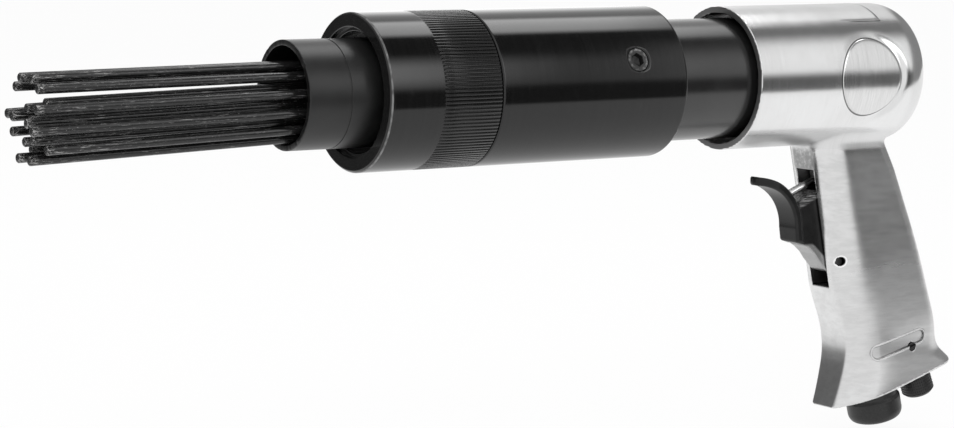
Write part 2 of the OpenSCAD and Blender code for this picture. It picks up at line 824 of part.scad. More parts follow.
// Everything below the sloping base
module below_base() {
    translate([toe_x, 0, -toe_drop])
        rotate([0, -base_slope, 0])
            translate([-60, -60, -80])
                cube([200, 120, 80]);
}

module side_pad(side) {
    reach = housing_r + side_pad_lift;
    intersection() {
        bar(housing_x, housing_len, reach);
        translate([housing_end_x - side_pad_inset, 0, 0])
            rotate([side * 90, 0, 0])
                cylinder(h = 2 * housing_r, r = side_pad_d / 2);
    }
}

module top_pad() {
    reach = housing_r + side_pad_lift;
    intersection() {
        bar(housing_x, housing_len, reach);
        translate([grip_x + 0.4, -top_pad_w / 2, 0])
            cube([top_pad_len, top_pad_w, housing_d]);
    }
}

// Recess with round ends for the bare plaque on one side of the grip
module plaque_recess() {
    middle_h = 98.2;
    ends = (plaque_len - plaque_h) / 2;
    translate([grip_x + 38.2, plaque_depth - half_w(middle_h), -middle_h])
        rotate([90, -plaque_slope, 0]) {
            for (side = [-1, 1])
                translate([side * ends, 0, 0])
                    cylinder(h = grip_w, r = plaque_h / 2);
            translate([-ends, -plaque_h / 2, 0])
                cube([2 * ends, plaque_h, grip_w]);
        }
}

// Slot for the trigger, its back wall parallel to the grip's front
module trigger_slot() {
    back = slot_depth;
    lead = 12;
    translate([0, slot_w / 2, 0])
        rotate([90, 0, 0])
            linear_extrude(height = slot_w)
                polygon([
                    [front_x(slot_top) - lead, -slot_top],
                    [front_x(slot_top) + back, -slot_top],
                    [front_x(slot_bottom) + back, -slot_bottom],
                    [front_x(slot_bottom) - lead, -slot_bottom]
                ]);
}

module housing() {
    port_x = throttle_x + port_s * cos(throttle_slope);
    port_z = throttle_z + port_s * sin(throttle_slope);
    meet_s = spring_s + 3;
    meet_x = throttle_x + meet_s * cos(throttle_slope);
    meet_z = throttle_z + meet_s * sin(throttle_slope);
    top_x = inlet_x - (passage_top - 3) * sin(base_slope);
    top_z = inlet_z + (passage_top - 3) * cos(base_slope);
    gate_x = knob_x - regulator_port * sin(knob_slope);
    gate_z = knob_z + regulator_port * cos(knob_slope);
    over_x = knob_x - regulator_len * sin(knob_slope);
    over_z = knob_z + regulator_len * cos(knob_slope);
    pin_hole_r = pin_d / 2 + pin_hole_gap;
    color("#c9cacc")
        difference() {
            union() {
                housing_form();
                side_pad(1);
                side_pad(-1);
                top_pad();
                difference() {
                    grip_form();
                    below_base();
                }
            }
            bar(housing_x - 1, exhaust_gap_len + 1, exhaust_gap_d / 2);
            bar(housing_x, chamber_x - housing_x, barrel_r + fit_gap);
            bar(chamber_x - 1, chamber_len + 1, chamber_r);
            trigger_slot();
            plaque_recess();
            on_throttle()
                cylinder(h = throttle_end_s, r = throttle_bore_r);
            link(port_x, port_z, chamber_x + 3, -chamber_r + 1, port_r);
            link(top_x, top_z, gate_x, gate_z, regulator_port_r);
            link(over_x, over_z, meet_x, meet_z, grip_passage_d / 2);
            on_inlet()
                translate([0, 0, -1])
                    cylinder(h = passage_top + 1, r = inlet_spigot_d / 2 + fit_gap);
            on_regulator()
                translate([0, 0, -5])
                    cylinder(h = regulator_len + 5 + 2 * end_gap, r = regulator_d / 2 + fit_gap);
            cross_pin(pin_x, pin_z, pin_hole_r, casing_d);
            cross_pin(retain_x, retain_z, pin_hole_r, casing_d);
        }
}

// Outline of the finger plate: two arcs about one centre, a straight foot and a straight hook
module plate_outline() {
    foot = 4.5;
    top = 86;
    steps = [for (i = [0 : 12]) top * i / 12];
    inner = [for (a = steps) [finger_x + finger_r * cos(a), finger_z + finger_r * sin(a)]];
    outer = [for (a = [for (i = [12 : -1 : 0]) top * i / 12])
        [finger_x + plate_r * cos(a), finger_z + plate_r * sin(a)]];
    hook_in = [finger_x + finger_r * cos(top) - hook_len, finger_z + finger_r * sin(top) + 0.9];
    hook_out = [finger_x + plate_r * cos(top) - hook_len + 1, finger_z + plate_r * sin(top) + 0.3];
    polygon(concat(
        [[finger_x + finger_r, finger_z - foot]],
        inner,
        [hook_in, hook_in + [-0.7, 1], hook_out + [-0.9, -0.6], hook_out],
        outer,
        [[finger_x + plate_r + 1.2, finger_z - foot - 1.4]]
    ));
}

// Point of the web's upper edge, which runs under the stem, at a distance along it
function under_stem(s) =
    let (below = stem_d / 2 + 1.3)
    [throttle_x + s * cos(throttle_slope) + below * sin(throttle_slope),
        throttle_z + s * sin(throttle_slope) - below * cos(throttle_slope)];

// Outline of the web from the finger plate into the slot and round the pin
module web_outline() {
    union() {
        polygon([
            under_stem(-3.6),
            under_stem(6.5),
            under_stem(7.4) - [0, 2],
            [pin_x + tail_r * cos(35), pin_z + tail_r * sin(35)],
            [pin_x - tail_r * cos(45), pin_z - tail_r * sin(45)],
            [pin_x - 6.2, pin_z + 0.2],
            [pin_x - 8.2, pin_z + 2.8],
            [pin_x - 10.6, pin_z + 4.9],
            [finger_x + plate_r + 1.2, finger_z - 5.9],
            [finger_x + plate_r - 2, finger_z - 4.9]
        ]);
        translate([pin_x, pin_z])
            circle(r = tail_r);
    }
}

module trigger() {
    web_w = slot_w - 0.7;
    tip_x = finger_x + finger_r * cos(86) - hook_len - 0.7;
    tongue_r = 3.4;
    tongue_len = 10;
    color("#171719")
        difference() {
            union() {
                intersection() {
                    translate([0, trigger_w / 2, 0])
                        rotate([90, 0, 0])
                            linear_extrude(height = trigger_w)
                                plate_outline();
                    hull() {
                        translate([tip_x + tongue_r, 0, -toe_drop])
                            cylinder(h = toe_drop, r = tongue_r, $fn = 32);
                        for (side = [-1, 1])
                            translate([tip_x + tongue_len - 3, side * (trigger_w / 2 - 3), -toe_drop])
                                cylinder(h = toe_drop, r = 3, $fn = 32);
                        translate([pin_x, -trigger_w / 2, -toe_drop])
                            cube([1, trigger_w, toe_drop]);
                    }
                }
                translate([0, web_w / 2, 0])
                    rotate([90, 0, 0])
                        linear_extrude(height = web_w)
                            web_outline();
            }
            cross_pin(pin_x, pin_z, pin_d / 2 + hinge_gap, casing_d);
        }
}

module trigger_pin() {
    len = 2 * flank_w(pin_h, 3.5) - 2;
    color("#6a6a6e")
        cross_pin(pin_x, pin_z, pin_d / 2, len);
}

module throttle_stem() {
    r = stem_d / 2;
    end = ball_s - ball_d / 2;
    color("#c8c9cc")
        on_throttle()
            rotate_extrude()
                polygon([
                    [0, -stem_reach],
                    [r * 0.5, -stem_reach + 0.2],
                    [r * 0.87, -stem_reach + 0.7],
                    [r, -stem_reach + 1.5],
                    [r, end],
                    [0, end]
                ]);
}

module throttle_bushing() {
    r = bushing_d / 2;
    color("#8a8b8e")
        on_throttle()
            difference() {
                translate([0, 0, bushing_s])
                    cylinder(h = bushing_len, r = r);
                cylinder(h = seat_s, r = stem_d / 2 + fit_gap);
                translate([0, 0, port_s - 1.5])
                    cylinder(h = seat_s, r = r - 1.4);
                translate([0, 0, port_s])
                    for (a = [0, 90])
                        rotate([0, 0, a])
                            rotate([90, 0, 0])
                                cylinder(h = 3 * r, r = 1.2, center = true);
            }
}

module throttle_seat() {
    color("#e9e9e4")
        on_throttle()
            translate([0, 0, seat_s])
                difference() {
                    cylinder(h = seat_t, r = bushing_d / 2);
                    translate([0, 0, -1])
                        cylinder(h = seat_t + 2, r = seat_bore_r);
                }
}

module throttle_ball() {
    color("#d5d6d8")
        on_throttle()
            translate([0, 0, ball_s])
                sphere(r = ball_d / 2);
}

module throttle_spring() {
    color("#9a9b9e")
        on_throttle()
            translate([0, 0, spring_s])
                coil(throttle_path, throttle_wire);
}

module inlet_bushing() {
    head_r = inlet_d / 2;
    color("#18181a")
        on_inlet()
            rotate_extrude()
                polygon([
                    [inlet_bore_r, 0.8 - inlet_head],
                    [inlet_bore_r + 0.8, -inlet_head],
                    [head_r - 2.6, -inlet_head],
                    [head_r - 0.8, 0.8 - inlet_head],
                    [head_r, 2.6 - inlet_head],
                    [head_r, -4.2],
                    [head_r - 0.7, -3.4],
                    [head_r - 0.7, 0],
                    [inlet_spigot_d / 2, 0],
                    [inlet_spigot_d / 2, inlet_spigot],
                    [inlet_bore_r - 1.4, inlet_spigot],
                    [inlet_bore_r - 1.4, inlet_bore_len - inlet_head],
                    [inlet_bore_r, inlet_bore_len - inlet_head]
                ]);
}

module inlet_screen() {
    hole_r = 0.9;
    color("#b98d4f")
        on_inlet()
            translate([0, 0, inlet_spigot])
                difference() {
                    cylinder(h = screen_t, r = screen_r);
                    for (a = [0 : 60 : 300])
                        rotate([0, 0, a])
                            translate([3 * hole_r, 0, -1])
                                cylinder(h = screen_t + 2, r = hole_r);
                    translate([0, 0, -1])
                        cylinder(h = screen_t + 2, r = hole_r);
                }
}

module regulator_knob() {
    r = regulator_d / 2;
    knob_r = knob_d / 2;
    ring_h = 5;
    pin_r = pin_d / 2 + end_gap;
    slot_in = 1.2;
    color("#1a1a1c")
        on_regulator()
            difference() {
                rotate_extrude()
                    polygon([
                        [0, -knob_len],
                        [knob_r - 1.2, -knob_len],
                        [knob_r, 1.2 - knob_len],
                        [knob_r, -3],
                        [r, -2.6],
                        [r, ring_h - 1.2],
                        [r - 1.6, ring_h - 1.2],
                        [r - 1.6, ring_h + 1.2],
                        [r, ring_h + 1.2],
                        [r, retain_height - pin_r],
                        [retain_groove_r, retain_height - pin_r],
                        [retain_groove_r, retain_height + pin_r],
                        [r, retain_height + pin_r],
                        [r, regulator_len],
                        [regulator_port_r, regulator_len],
                        [regulator_port_r, regulator_port - regulator_port_r],
                        [0, regulator_port - regulator_port_r]
                    ]);
                translate([0, 0, regulator_port])
                    rotate([0, -90, 0])
                        cylinder(h = knob_d, r = regulator_port_r - 0.3);
                translate([-slot_in / 2, -knob_d, -knob_len - 1])
                    cube([slot_in, 2 * knob_d, 2.4]);
            }
}

module regulator_o_ring() {
    section = 0.75;
    color("#101010")
        on_regulator()
            translate([0, 0, 5])
                rotate_extrude()
                    translate([regulator_d / 2 - 1.6 + section + fit_gap, 0])
                        circle(r = section, $fn = 32);
}

module regulator_pin() {
    color("#6a6a6e")
        cross_pin(retain_x, retain_z, pin_d / 2, grip_w - 3);
}

nose_tube();
front_sleeve();
rear_casing();
casing_set_screw();
return_spring();
needle_holder();
anvil();
anvil_bumper();
barrel();
barrel_o_ring();
piston();
valve_case();
valve_disc();
valve_cap();
valve_dowel();
housing();
trigger();
trigger_pin();
throttle_stem();
throttle_bushing();
throttle_seat();
throttle_ball();
throttle_spring();
inlet_bushing();
inlet_screen();
regulator_knob();
regulator_o_ring();
regulator_pin();
needle(0);  // needle_01
needle(1);  // needle_02
needle(2);  // needle_03
needle(3);  // needle_04
needle(4);  // needle_05
needle(5);  // needle_06
needle(6);  // needle_07
needle(7);  // needle_08
needle(8);  // needle_09
needle(9);  // needle_10
needle(10);  // needle_11
needle(11);  // needle_12
needle(12);  // needle_13
needle(13);  // needle_14
needle(14);  // needle_15
needle(15);  // needle_16
needle(16);  // needle_17
needle(17);  // needle_18
needle(18);  // needle_19
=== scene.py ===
import math

import bpy
import numpy as np
from mathutils import Matrix, Vector


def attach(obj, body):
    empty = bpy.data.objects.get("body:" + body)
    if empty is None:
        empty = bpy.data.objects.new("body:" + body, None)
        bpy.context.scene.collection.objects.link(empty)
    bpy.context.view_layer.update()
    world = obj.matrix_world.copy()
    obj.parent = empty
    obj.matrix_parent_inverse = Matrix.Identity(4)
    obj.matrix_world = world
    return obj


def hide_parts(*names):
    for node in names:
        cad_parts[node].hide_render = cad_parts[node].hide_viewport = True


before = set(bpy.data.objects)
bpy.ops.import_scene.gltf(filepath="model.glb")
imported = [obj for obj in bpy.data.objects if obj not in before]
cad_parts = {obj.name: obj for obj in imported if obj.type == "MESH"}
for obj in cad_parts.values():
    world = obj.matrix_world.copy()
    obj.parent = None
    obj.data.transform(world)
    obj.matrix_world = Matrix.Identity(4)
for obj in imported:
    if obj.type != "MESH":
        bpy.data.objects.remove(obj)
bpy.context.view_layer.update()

# A needle scaler's outside in finer forms than the CAD, with its finishes, the photograph's camera
# and a white studio. Lengths are in millimetres. X runs along the barrel to the rear, Z is up.
MM = 0.001
TURN = 2 * math.pi


def ray(degrees):
    """Cosine and sine of an angle"""
    a = math.radians(degrees)
    return math.cos(a), math.sin(a)


# ---------------- camera

def set_camera():
    """The photograph's view: a long lens from the left front, a little above the barrel"""
    place = Vector((-497.14, -728.65, 58.69)) * MM
    (along, aside), (level, rise), (cos, sin) = ray(-32.636), ray(6.592), ray(0.187)
    right = Vector((along, aside, 0))
    back = Vector((aside * level, -along * level, rise))
    up = back.cross(right)
    right, up = right * cos + up * sin, up * cos - right * sin
    data = bpy.data.cameras.new("photo_view")
    data.sensor_width = 36
    data.lens = 100.41
    data.shift_x = 0.000786
    data.shift_y = -0.00025
    data.clip_start = 0.01
    data.clip_end = 20
    camera = linked("photo_view", data)
    camera.matrix_world = Matrix([[right[i], up[i], back[i], place[i]] for i in range(3)] + [[0, 0, 0, 1]])
    bpy.context.scene.camera = camera
    bpy.context.scene.view_settings.view_transform = "Standard"


# ---------------- main places, in millimetres

HOUSING_R = 24.75
HOUSING_X = 68.05
DOME_X, DOME_LEN, DOME_POWER = 133.25, 14.1, 3.15
PAD_X, PAD_R = 116.95, 13.3
TOP_LEFT, TOP_RIGHT, TOP_HALF = 106.35, 127.65, 15.5
PIN = (117.503, -66.3)
RETAINER = (150.944, -99.635)
PLAQUE_X, PLAQUE_Z, PLAQUE_TILT = 144.15, -98.2, 13
PLAQUE_RUN, PLAQUE_R = (25.6 - 5.3) / 2, 5.3 / 2
CASING_R = 25.5
SCREW_X, SCREW_ANGLE = 17.25, -21


def on_plaque(x, z):
    """Distances along and across the plaque, for arrays and sockets alike"""
    cos, sin = ray(PLAQUE_TILT)
    dx, dz = x - PLAQUE_X, z - PLAQUE_Z
    return dx * cos + dz * sin, dz * cos - dx * sin


# ---------------- finishes

class Value:
    """A socket in a node tree. Operators on it add Math nodes."""

    def __init__(self, nodes, socket):
        self.nodes, self.socket = nodes, socket

    def math(self, operation, *others):
        """A Math node with this value first"""
        values = (self,) + others
        return self.nodes.add("Math", {"operation": operation}, dict(enumerate(values)))

    def swapped(self, operation, other):
        """A Math node with this value second"""
        return self.nodes.add("Math", {"operation": operation}, {0: other, 1: self})

    def __add__(self, other): return self.math("ADD", other)
    def __radd__(self, other): return self.math("ADD", other)
    def __sub__(self, other): return self.math("SUBTRACT", other)
    def __rsub__(self, other): return self.swapped("SUBTRACT", other)
    def __mul__(self, other): return self.math("MULTIPLY", other)
    def __pow__(self, other): return self.math("POWER", other)

    def between(self, low, high):
        """0 below low, 1 above high, smooth between them"""
        return self.nodes.add("MapRange", {"interpolation_type": "SMOOTHSTEP"},
                              {"Value": self, "From Min": low, "From Max": high})

    def band(self, start, rise, fall, end):
        """1 from rise to fall, fading to 0 at start and end"""
        return self.between(start, rise) * (1 - self.between(fall, end))


class Nodes:
    """A node tree and the calls that fill it"""

    def __init__(self, tree):
        self.tree = tree
        tree.nodes.clear()

    def add(self, kind, settings=None, values=None, out=0):
        """A node with its settings, and its inputs linked to Values or set to plain values"""
        node = self.tree.nodes.new("ShaderNode" + kind)
        for name, setting in (settings or {}).items():
            setattr(node, name, setting)
        for key, value in (values or {}).items():
            socket = node.inputs[key]
            if isinstance(value, Value):
                self.tree.links.new(value.socket, socket)
            else:
                socket.default_value = value
        return Value(self, node.outputs[out]) if node.outputs else None

    def axis(self, name):
        """One Object coordinate in millimetres"""
        where = self.add("TexCoord", out=3)
        return self.add("SeparateXYZ", None, {0: where}, "XYZ".index(name)) * (1 / MM)

    def noise(self, scale, detail=3, rough=0.5, tilt=(0, 0, 0)):
        """Noise on Object coordinates, at a scale per millimetre: one number, or one for each axis"""
        scales = scale if isinstance(scale, tuple) else (scale,) * 3
        spot = self.add("Mapping", {"vector_type": "POINT"}, {
            "Vector": self.add("TexCoord", out=3), "Rotation": tilt, "Scale": [s / MM for s in scales]})
        return self.add("TexNoise", {"noise_dimensions": "3D"}, {
            "Vector": spot, "Scale": 1, "Detail": detail, "Roughness": rough})

    def mix(self, share, first, second):
        """A colour between two"""
        return self.add("Mix", {"data_type": "RGBA"}, {0: share, 6: first, 7: second}, 2)

    def skin(self, colour, rough, height, **others):
        """Inputs for a shader, with a bump from a height in millimetres"""
        normal = self.add("Bump", None, {"Height": height, "Distance": MM, "Strength": 1.0})
        return {"Base Color": colour, "Roughness": rough, "Normal": normal, **others}


def apart(a, b):
    """A distance from its two parts"""
    return (a ** 2 + b ** 2) ** 0.5


def grey(level, warm=0.0):
    """A grey colour, a little warm or cool"""
    return (level * (1 + warm), level, level * (1 - warm), 1)


def new_material(name):
    """An empty material and its nodes"""
    material = bpy.data.materials.new(name)
    material.use_nodes = True
    return material, Nodes(material.node_tree)


def finish(name, make, fixed):
    """A material from a function that returns the varying inputs of its shader, and the fixed inputs"""
    material, nodes = new_material(name)
    shader = nodes.add("BsdfPrincipled", None, {**fixed, **make(nodes)})
    nodes.add("OutputMaterial", None, {"Surface": shader})
    return material


def cast_housing(n):
    """Hand-polished aluminium casting: brushed round the tube and across the grip

    Painted shade: dark inside the slot and the pin holes, and dark creases round the pads and the plaque.
    Also a raw patch above the trigger's slot, a bright ring round the trigger's pin and a cut front edge.
    """
    x, y, z = n.axis("X"), n.axis("Y"), n.axis("Z")
    on_grip = 1 - z.between(-30, -25)
    low = 1 - z.between(-95, -60)
    under = z.band(-27, -25, -21, -17)
    round_tube = n.noise((3.2, 0.05, 0.05), 4, 0.6)
    along_grip = n.noise((0.06, 0.3, 1.5), 3, 0.6, (0, math.radians(16), 0))
    brushed = round_tube * (1 - on_grip) + along_grip * on_grip
    strokes = n.noise((0.10, 0.3, 0.55), 4, 0.62, (0, math.radians(24), 0))
    cloudy = n.noise((0.05, 0.05, 0.06), 3, 0.55)
    spots = n.noise(0.7, 3, 0.6)
    pits = n.noise(2.1, 2, 0.5).between(0.66, 0.76)
    aside = y.math("ABSOLUTE")
    # painted shade: the trigger's slot and the pin holes are coloured near black, as they look in shadow
    slot = (1 - aside.between(4.55, 4.72)) * z.band(-76.2, -75.9, -33.8, -33.4) * x.between(106.9, 107.3)
    off_pin, off_retainer = (apart(x - u, z - v) for u, v in (PIN, RETAINER))
    holes = 1 - off_pin.between(1.55, 1.7) * off_retainer.between(1.55, 1.7)
    # painted shade: dark lines round the round pads, the top pad's rear edges and the plaque's recess
    crease_shade = apart(x - PAD_X, z).band(13.1, 13.3, 13.55, 13.85) * aside.between(12, 14)
    off_top = (x - TOP_RIGHT).math("MAXIMUM", aside - TOP_HALF)
    crease_shade = crease_shade.math("MAXIMUM", off_top.band(-0.1, 0.05, 0.25, 0.45) * z.between(10, 12) * x.between(112, 118))
    raw = z.band(-34.5, -33.6, -27, -25) * (1 - x.between(107.5, 109.5)) * (1 - aside.between(4.5, 6.5))
    bright = off_pin.band(1.7, 1.8, 2.1, 2.35)
    along, across = on_plaque(x, z)
    off_plaque = apart((along.math("ABSOLUTE") - PLAQUE_RUN).math("MAXIMUM", 0), across) - PLAQUE_R
    plaque_groove_shade = off_plaque.band(-0.85, -0.65, -0.4, -0.2) * (1 - y.between(-8, -6))
    crease_shade = crease_shade.math("MAXIMUM", plaque_groove_shade * 0.6)
    cut_edge = 1 - x.between(68.12, 68.25)
    colour = n.mix(brushed.between(0.25, 0.75) * (1 - on_grip * 0.6), grey(0.72), grey(0.79))
    colour = n.mix(cloudy.between(0.35, 0.7) * 0.6, colour, grey(0.83, -0.004))
    colour = n.mix(strokes.between(0.35, 0.68) * on_grip * 0.45, colour, grey(0.60))
    colour = n.mix(pits * 0.3, colour, grey(0.42, 0.01))
    colour = n.mix(bright, colour, grey(0.94))
    colour = n.mix(cut_edge.math("MAXIMUM", raw * spots.between(0.2, 0.6) * 0.7), colour, grey(0.30))
    # painted shade in the creases round the pads and the plaque
    colour = n.mix(crease_shade * 0.85, colour, grey(0.05))
    # painted shade laid over the slot and the pin holes
    colour = n.mix(slot.math("MAXIMUM", holes), colour, grey(0.014))
    rough = 0.10 + brushed * (0.07 - on_grip * 0.05) + cloudy * 0.05 + on_grip * 0.12 + low * 0.08
    rough = rough + (slot + raw + under + cut_edge * 1.4) * 0.25
    height = brushed * (0.12 - on_grip * 0.05) + (spots - pits) * (0.4 - on_grip * 0.34)
    wave = n.noise(0.11, 1, 0.4)
    return n.skin(colour, rough, height * 0.008 + wave * (0.03 + on_grip * 0.10) + strokes * on_grip * 0.003)


def pad_metal(n):
    """The pads, brushed the other way from the tube round them"""
    strokes = n.noise((2.8, 0.15, 0.10), 4, 0.65)
    cloudy = n.noise(0.10, 2, 0.5)
    colour = n.mix(strokes.between(0.3, 0.7), grey(0.68), grey(0.78))
    return n.skin(colour, 0.10 + strokes * 0.11 + cloudy * 0.04, strokes * 0.002 + cloudy * 0.02)


def black_oxide(n):
    """Turned steel blackened in salts: fine tool marks round the axis, rubbed bright on the outer edges"""
    x, y, z = n.axis("X"), n.axis("Y"), n.axis("Z")
    turned = n.noise((5.0, 0.03, 0.03), 3, 0.6)
    cloudy = n.noise(0.08, 3, 0.55)
    rubbed = n.noise((0.6, 0.25, 0.25), 4, 0.6).between(0.60, 0.78)
    rho = apart(y, z)
    edges = x.band(-77.7, -77.5, -77.2, -77.0) * rho.between(25.1, 25.2)
    edges = edges + x.band(35.95, 36.1, 36.3, 36.4) * rho.between(24.9, 25.0)
    chipped = edges * (0.2 + n.noise(0.3, 4, 0.7).between(0.35, 0.65) * 0.6)
    colour = n.mix(turned.between(0.3, 0.7), grey(0.003), grey(0.007))
    colour = n.mix(rubbed * 0.35, colour, grey(0.02))
    colour = n.mix(chipped, colour, grey(0.30))
    rough = 0.05 + turned * 0.05 + cloudy * 0.05 + rubbed * 0.04 + chipped * 0.2
    return n.skin(colour, rough, turned * 0.00012 + cloudy * 0.008, Metallic=chipped * 0.8)


def dull_black(soft):
    """Blackened steel with a satin, slightly grainy surface"""
    def make(n):
        turned = n.noise((4.0, 0.04, 0.04), 4, 0.65)
        grain = n.noise(2.4, 3, 0.6)
        cloudy = n.noise(0.07, 3, 0.5)
        colour = n.mix(cloudy.between(0.3, 0.7), grey(0.004), grey(0.010))
        return n.skin(colour, soft + turned * 0.08 + cloudy * 0.06, turned * 0.0003 + grain * 0.0015)
    return make


def screw_black(n):
    """Blackened screw head, worn bright in a ring"""
    x, y, z = n.axis("X"), n.axis("Y"), n.axis("Z")
    cos, sin = ray(SCREW_ANGLE)
    off = apart(x - SCREW_X, z * cos - y * sin)
    worn = off.band(2.9, 3.2, 3.6, 3.95) * n.noise(0.8, 4, 0.7).between(0.43, 0.62)
    fine = n.noise(2.5, 3, 0.6)
    colour = n.mix(worn * 0.6, n.mix(fine, grey(0.006), grey(0.02)), grey(0.34))
    return n.skin(colour, 0.25 + fine * 0.15, fine * 0.01, Metallic=worn * 0.6)


def needle_steel(n):
    """Drawn black wire, scraped bright in thin streaks and specks, most of all near the tips"""
    streak = n.noise((0.13, 2.7, 2.7), 5, 0.75)
    blotch = n.noise((0.22, 0.5, 0.5), 4, 0.7)
    specks = n.noise((1.3, 2.6, 2.6), 3, 0.65)
    tip = 1 - n.axis("X").between(-190, -150)
    end = n.add("Attribute", {"attribute_name": "from_tip"}, out=2)
    end = end.between(0.02, 0.25) * (1 - end.between(0.5, 3.0))
    worn = streak.between(0.57, 0.63) * blotch.between(0.47 - tip * 0.12, 0.56 - tip * 0.12) * (0.35 + tip * 0.40)
    worn = worn.math("MAXIMUM", specks.between(0.66, 0.71) * (0.25 + tip * 0.4))
    worn = worn.math("MAXIMUM", specks.between(0.53, 0.58) * end * 0.75)
    colour = n.mix(streak.between(0.35, 0.65), grey(0.004), grey(0.016))
    colour = n.mix(worn, colour, grey(0.55, 0.01))
    height = streak * 0.010 + blotch * 0.02 + specks * end * 0.04
    return n.skin(colour, 0.12 + blotch * 0.14, height, Metallic=worn * 0.7)


def trigger_black(n):
    """Semi-gloss black, rubbed on the finger face, ground bright near the stem, with a painted reflection as bare metal
    on the web's lower edge
    """
    fine = n.noise(2.2, 3, 0.6)
    soft = n.noise(0.18, 3, 0.5)
    x, z = n.axis("X"), n.axis("Z")
    ground = n.noise((0.12, 1.2, 2.6), 4, 0.6, (0, math.radians(22), 0))
    below_stem = z - x * 0.404 + 85.2
    near_stem = below_stem.band(-3.6, -2.4, 3.2, 3.6) * x.between(101.7, 103.2)
    edge = z + x * 0.93 - 2.05
    # painted reflection: the web's lower edge is coloured as bright bare metal where it reflects light
    lower_edge_reflection = (1 - edge.between(38.2, 39.6)) * x.between(102.7, 104.7) * (1 - z.between(-61.0, -59.5))
    # real grinding marks near the stem, together with the painted reflection on the lower edge
    ground_and_reflection = near_stem * ground.between(0.42, 0.60) * 0.55 + lower_edge_reflection * 0.8
    colour = n.mix(soft.between(0.3, 0.7), grey(0.004), grey(0.009))
    colour = n.mix(ground_and_reflection, colour, grey(0.46))
    height = fine * 0.004 + soft * 0.02 + ground * 0.006
    return n.skin(colour, 0.22 + fine * 0.10 + soft * 0.05, height, Metallic=ground_and_reflection)


def grained_black(n):
    """Black oxide with a pebbled grain, for the fittings at the base"""
    grain = n.noise(1.5, 3, 0.65)
    worn = n.noise(0.9, 4, 0.7).between(0.62, 0.74)
    colour = n.mix(grain.between(0.35, 0.7), grey(0.005), grey(0.014))
    colour = n.mix(worn * 0.3, colour, grey(0.06))
    return n.skin(colour, 0.30 + grain * 0.16, grain * 0.03)


def steel_with(level, low, high, along=(0.3, 3.0, 3.0)):
    """Bare steel of one lightness with grinding marks"""
    def make(n):
        marks = n.noise(along, 4, 0.6)
        cloudy = n.noise(0.15, 3, 0.5)
        colour = n.mix(marks.between(0.3, 0.7), grey(level * 0.85), grey(level * 1.1))
        colour = n.mix(cloudy.between(0.5, 0.8) * 0.4, colour, grey(level * 0.7, 0.02))
        return n.skin(colour, low + (marks * 0.6 + cloudy * 0.4) * (high - low), marks * 0.006)
    return make


def soft_with(dark, light, low, high):
    """Rubber or plastic: two shades, a fine grain"""
    def make(n):
        fine = n.noise(1.5, 3, 0.6)
        broad = n.noise(0.2, 3, 0.5)
        return n.skin(n.mix(broad.between(0.3, 0.7), dark, light), low + fine * (high - low), fine * 0.02)
    return make


def brass_cloth(n):
    """Woven brass wire"""
    colour = n.mix(n.noise(3).between(0.3, 0.7), (0.62, 0.42, 0.18, 1), (0.78, 0.58, 0.30, 1))
    return n.skin(colour, 0.35 + n.noise(5) * 0.25, n.noise(4) * 0.1)


def make_finishes():
    """Every finish by its name"""
    metal = {"Metallic": 1.0}

    def gloss(level=0.5):
        return {"Specular IOR Level": level}
    table = {
        "cast_housing": (cast_housing, metal),
        "pad_metal": (pad_metal, metal),
        "blackened_steel": (black_oxide, gloss()),
        "barrel_black": (dull_black(0.14), gloss(0.85)),
        "nose_black": (dull_black(0.28), gloss()),
        "screw_black": (screw_black, gloss()),
        "needle_steel": (needle_steel, gloss()),
        "black_paint": (trigger_black, gloss(0.32)),
        "fitting_black": (grained_black, gloss()),
        "hard_steel": (steel_with(0.42, 0.25, 0.45), metal),
        "bright_steel": (steel_with(0.74, 0.12, 0.26), metal),
        "pin_steel": (steel_with(0.05, 0.35, 0.55, 3), {"Metallic": 0.8}),
        "spring_steel": (steel_with(0.28, 0.28, 0.45, 2), metal),
        "rubber_black": (soft_with(grey(0.014), grey(0.03), 0.5, 0.8), {}),
        "white_plastic": (soft_with(grey(0.74, 0.02), grey(0.86, 0.02), 0.35, 0.55), {}),
        "brass_mesh": (brass_cloth, metal),
    }
    return {name: finish(name, make, fixed) for name, (make, fixed) in table.items()}


# ---------------- mesh tools

def linked(name, data):
    """A new object in the scene"""
    made = bpy.data.objects.new(name, data)
    bpy.context.scene.collection.objects.link(made)
    return made


def outward(points, faces):
    """The faces turned so that the closed shape's volume is positive"""
    p = np.asarray(points, float)
    t = np.array([(f[0], f[i], f[i + 1]) for f in faces for i in range(1, len(f) - 1)])
    total = np.einsum("ij,ij->i", p[t[:, 0]], np.cross(p[t[:, 1]], p[t[:, 2]])).sum()
    return faces if total > 0 else [tuple(reversed(f)) for f in faces]


def add_mesh(name, points, faces, material, sharp=35.0):
    """A smooth-shaded object from points in millimetres, with edges sharper than an angle kept"""
    mesh = bpy.data.meshes.new(name)
    mesh.from_pydata((np.asarray(points, float) * MM).tolist(), [], outward(points, faces))
    mesh.polygons.foreach_set("use_smooth", [True] * len(mesh.polygons))
    mesh.set_sharp_from_angle(angle=math.radians(sharp))
    mesh.materials.append(material)
    return linked(name, mesh)


def dress(piece, body, slot, *nodes):
    """Says what a piece moves with and which nodes it stands for; the slot argument is not used"""
    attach(piece, body)
    if nodes:
        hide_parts(*nodes)


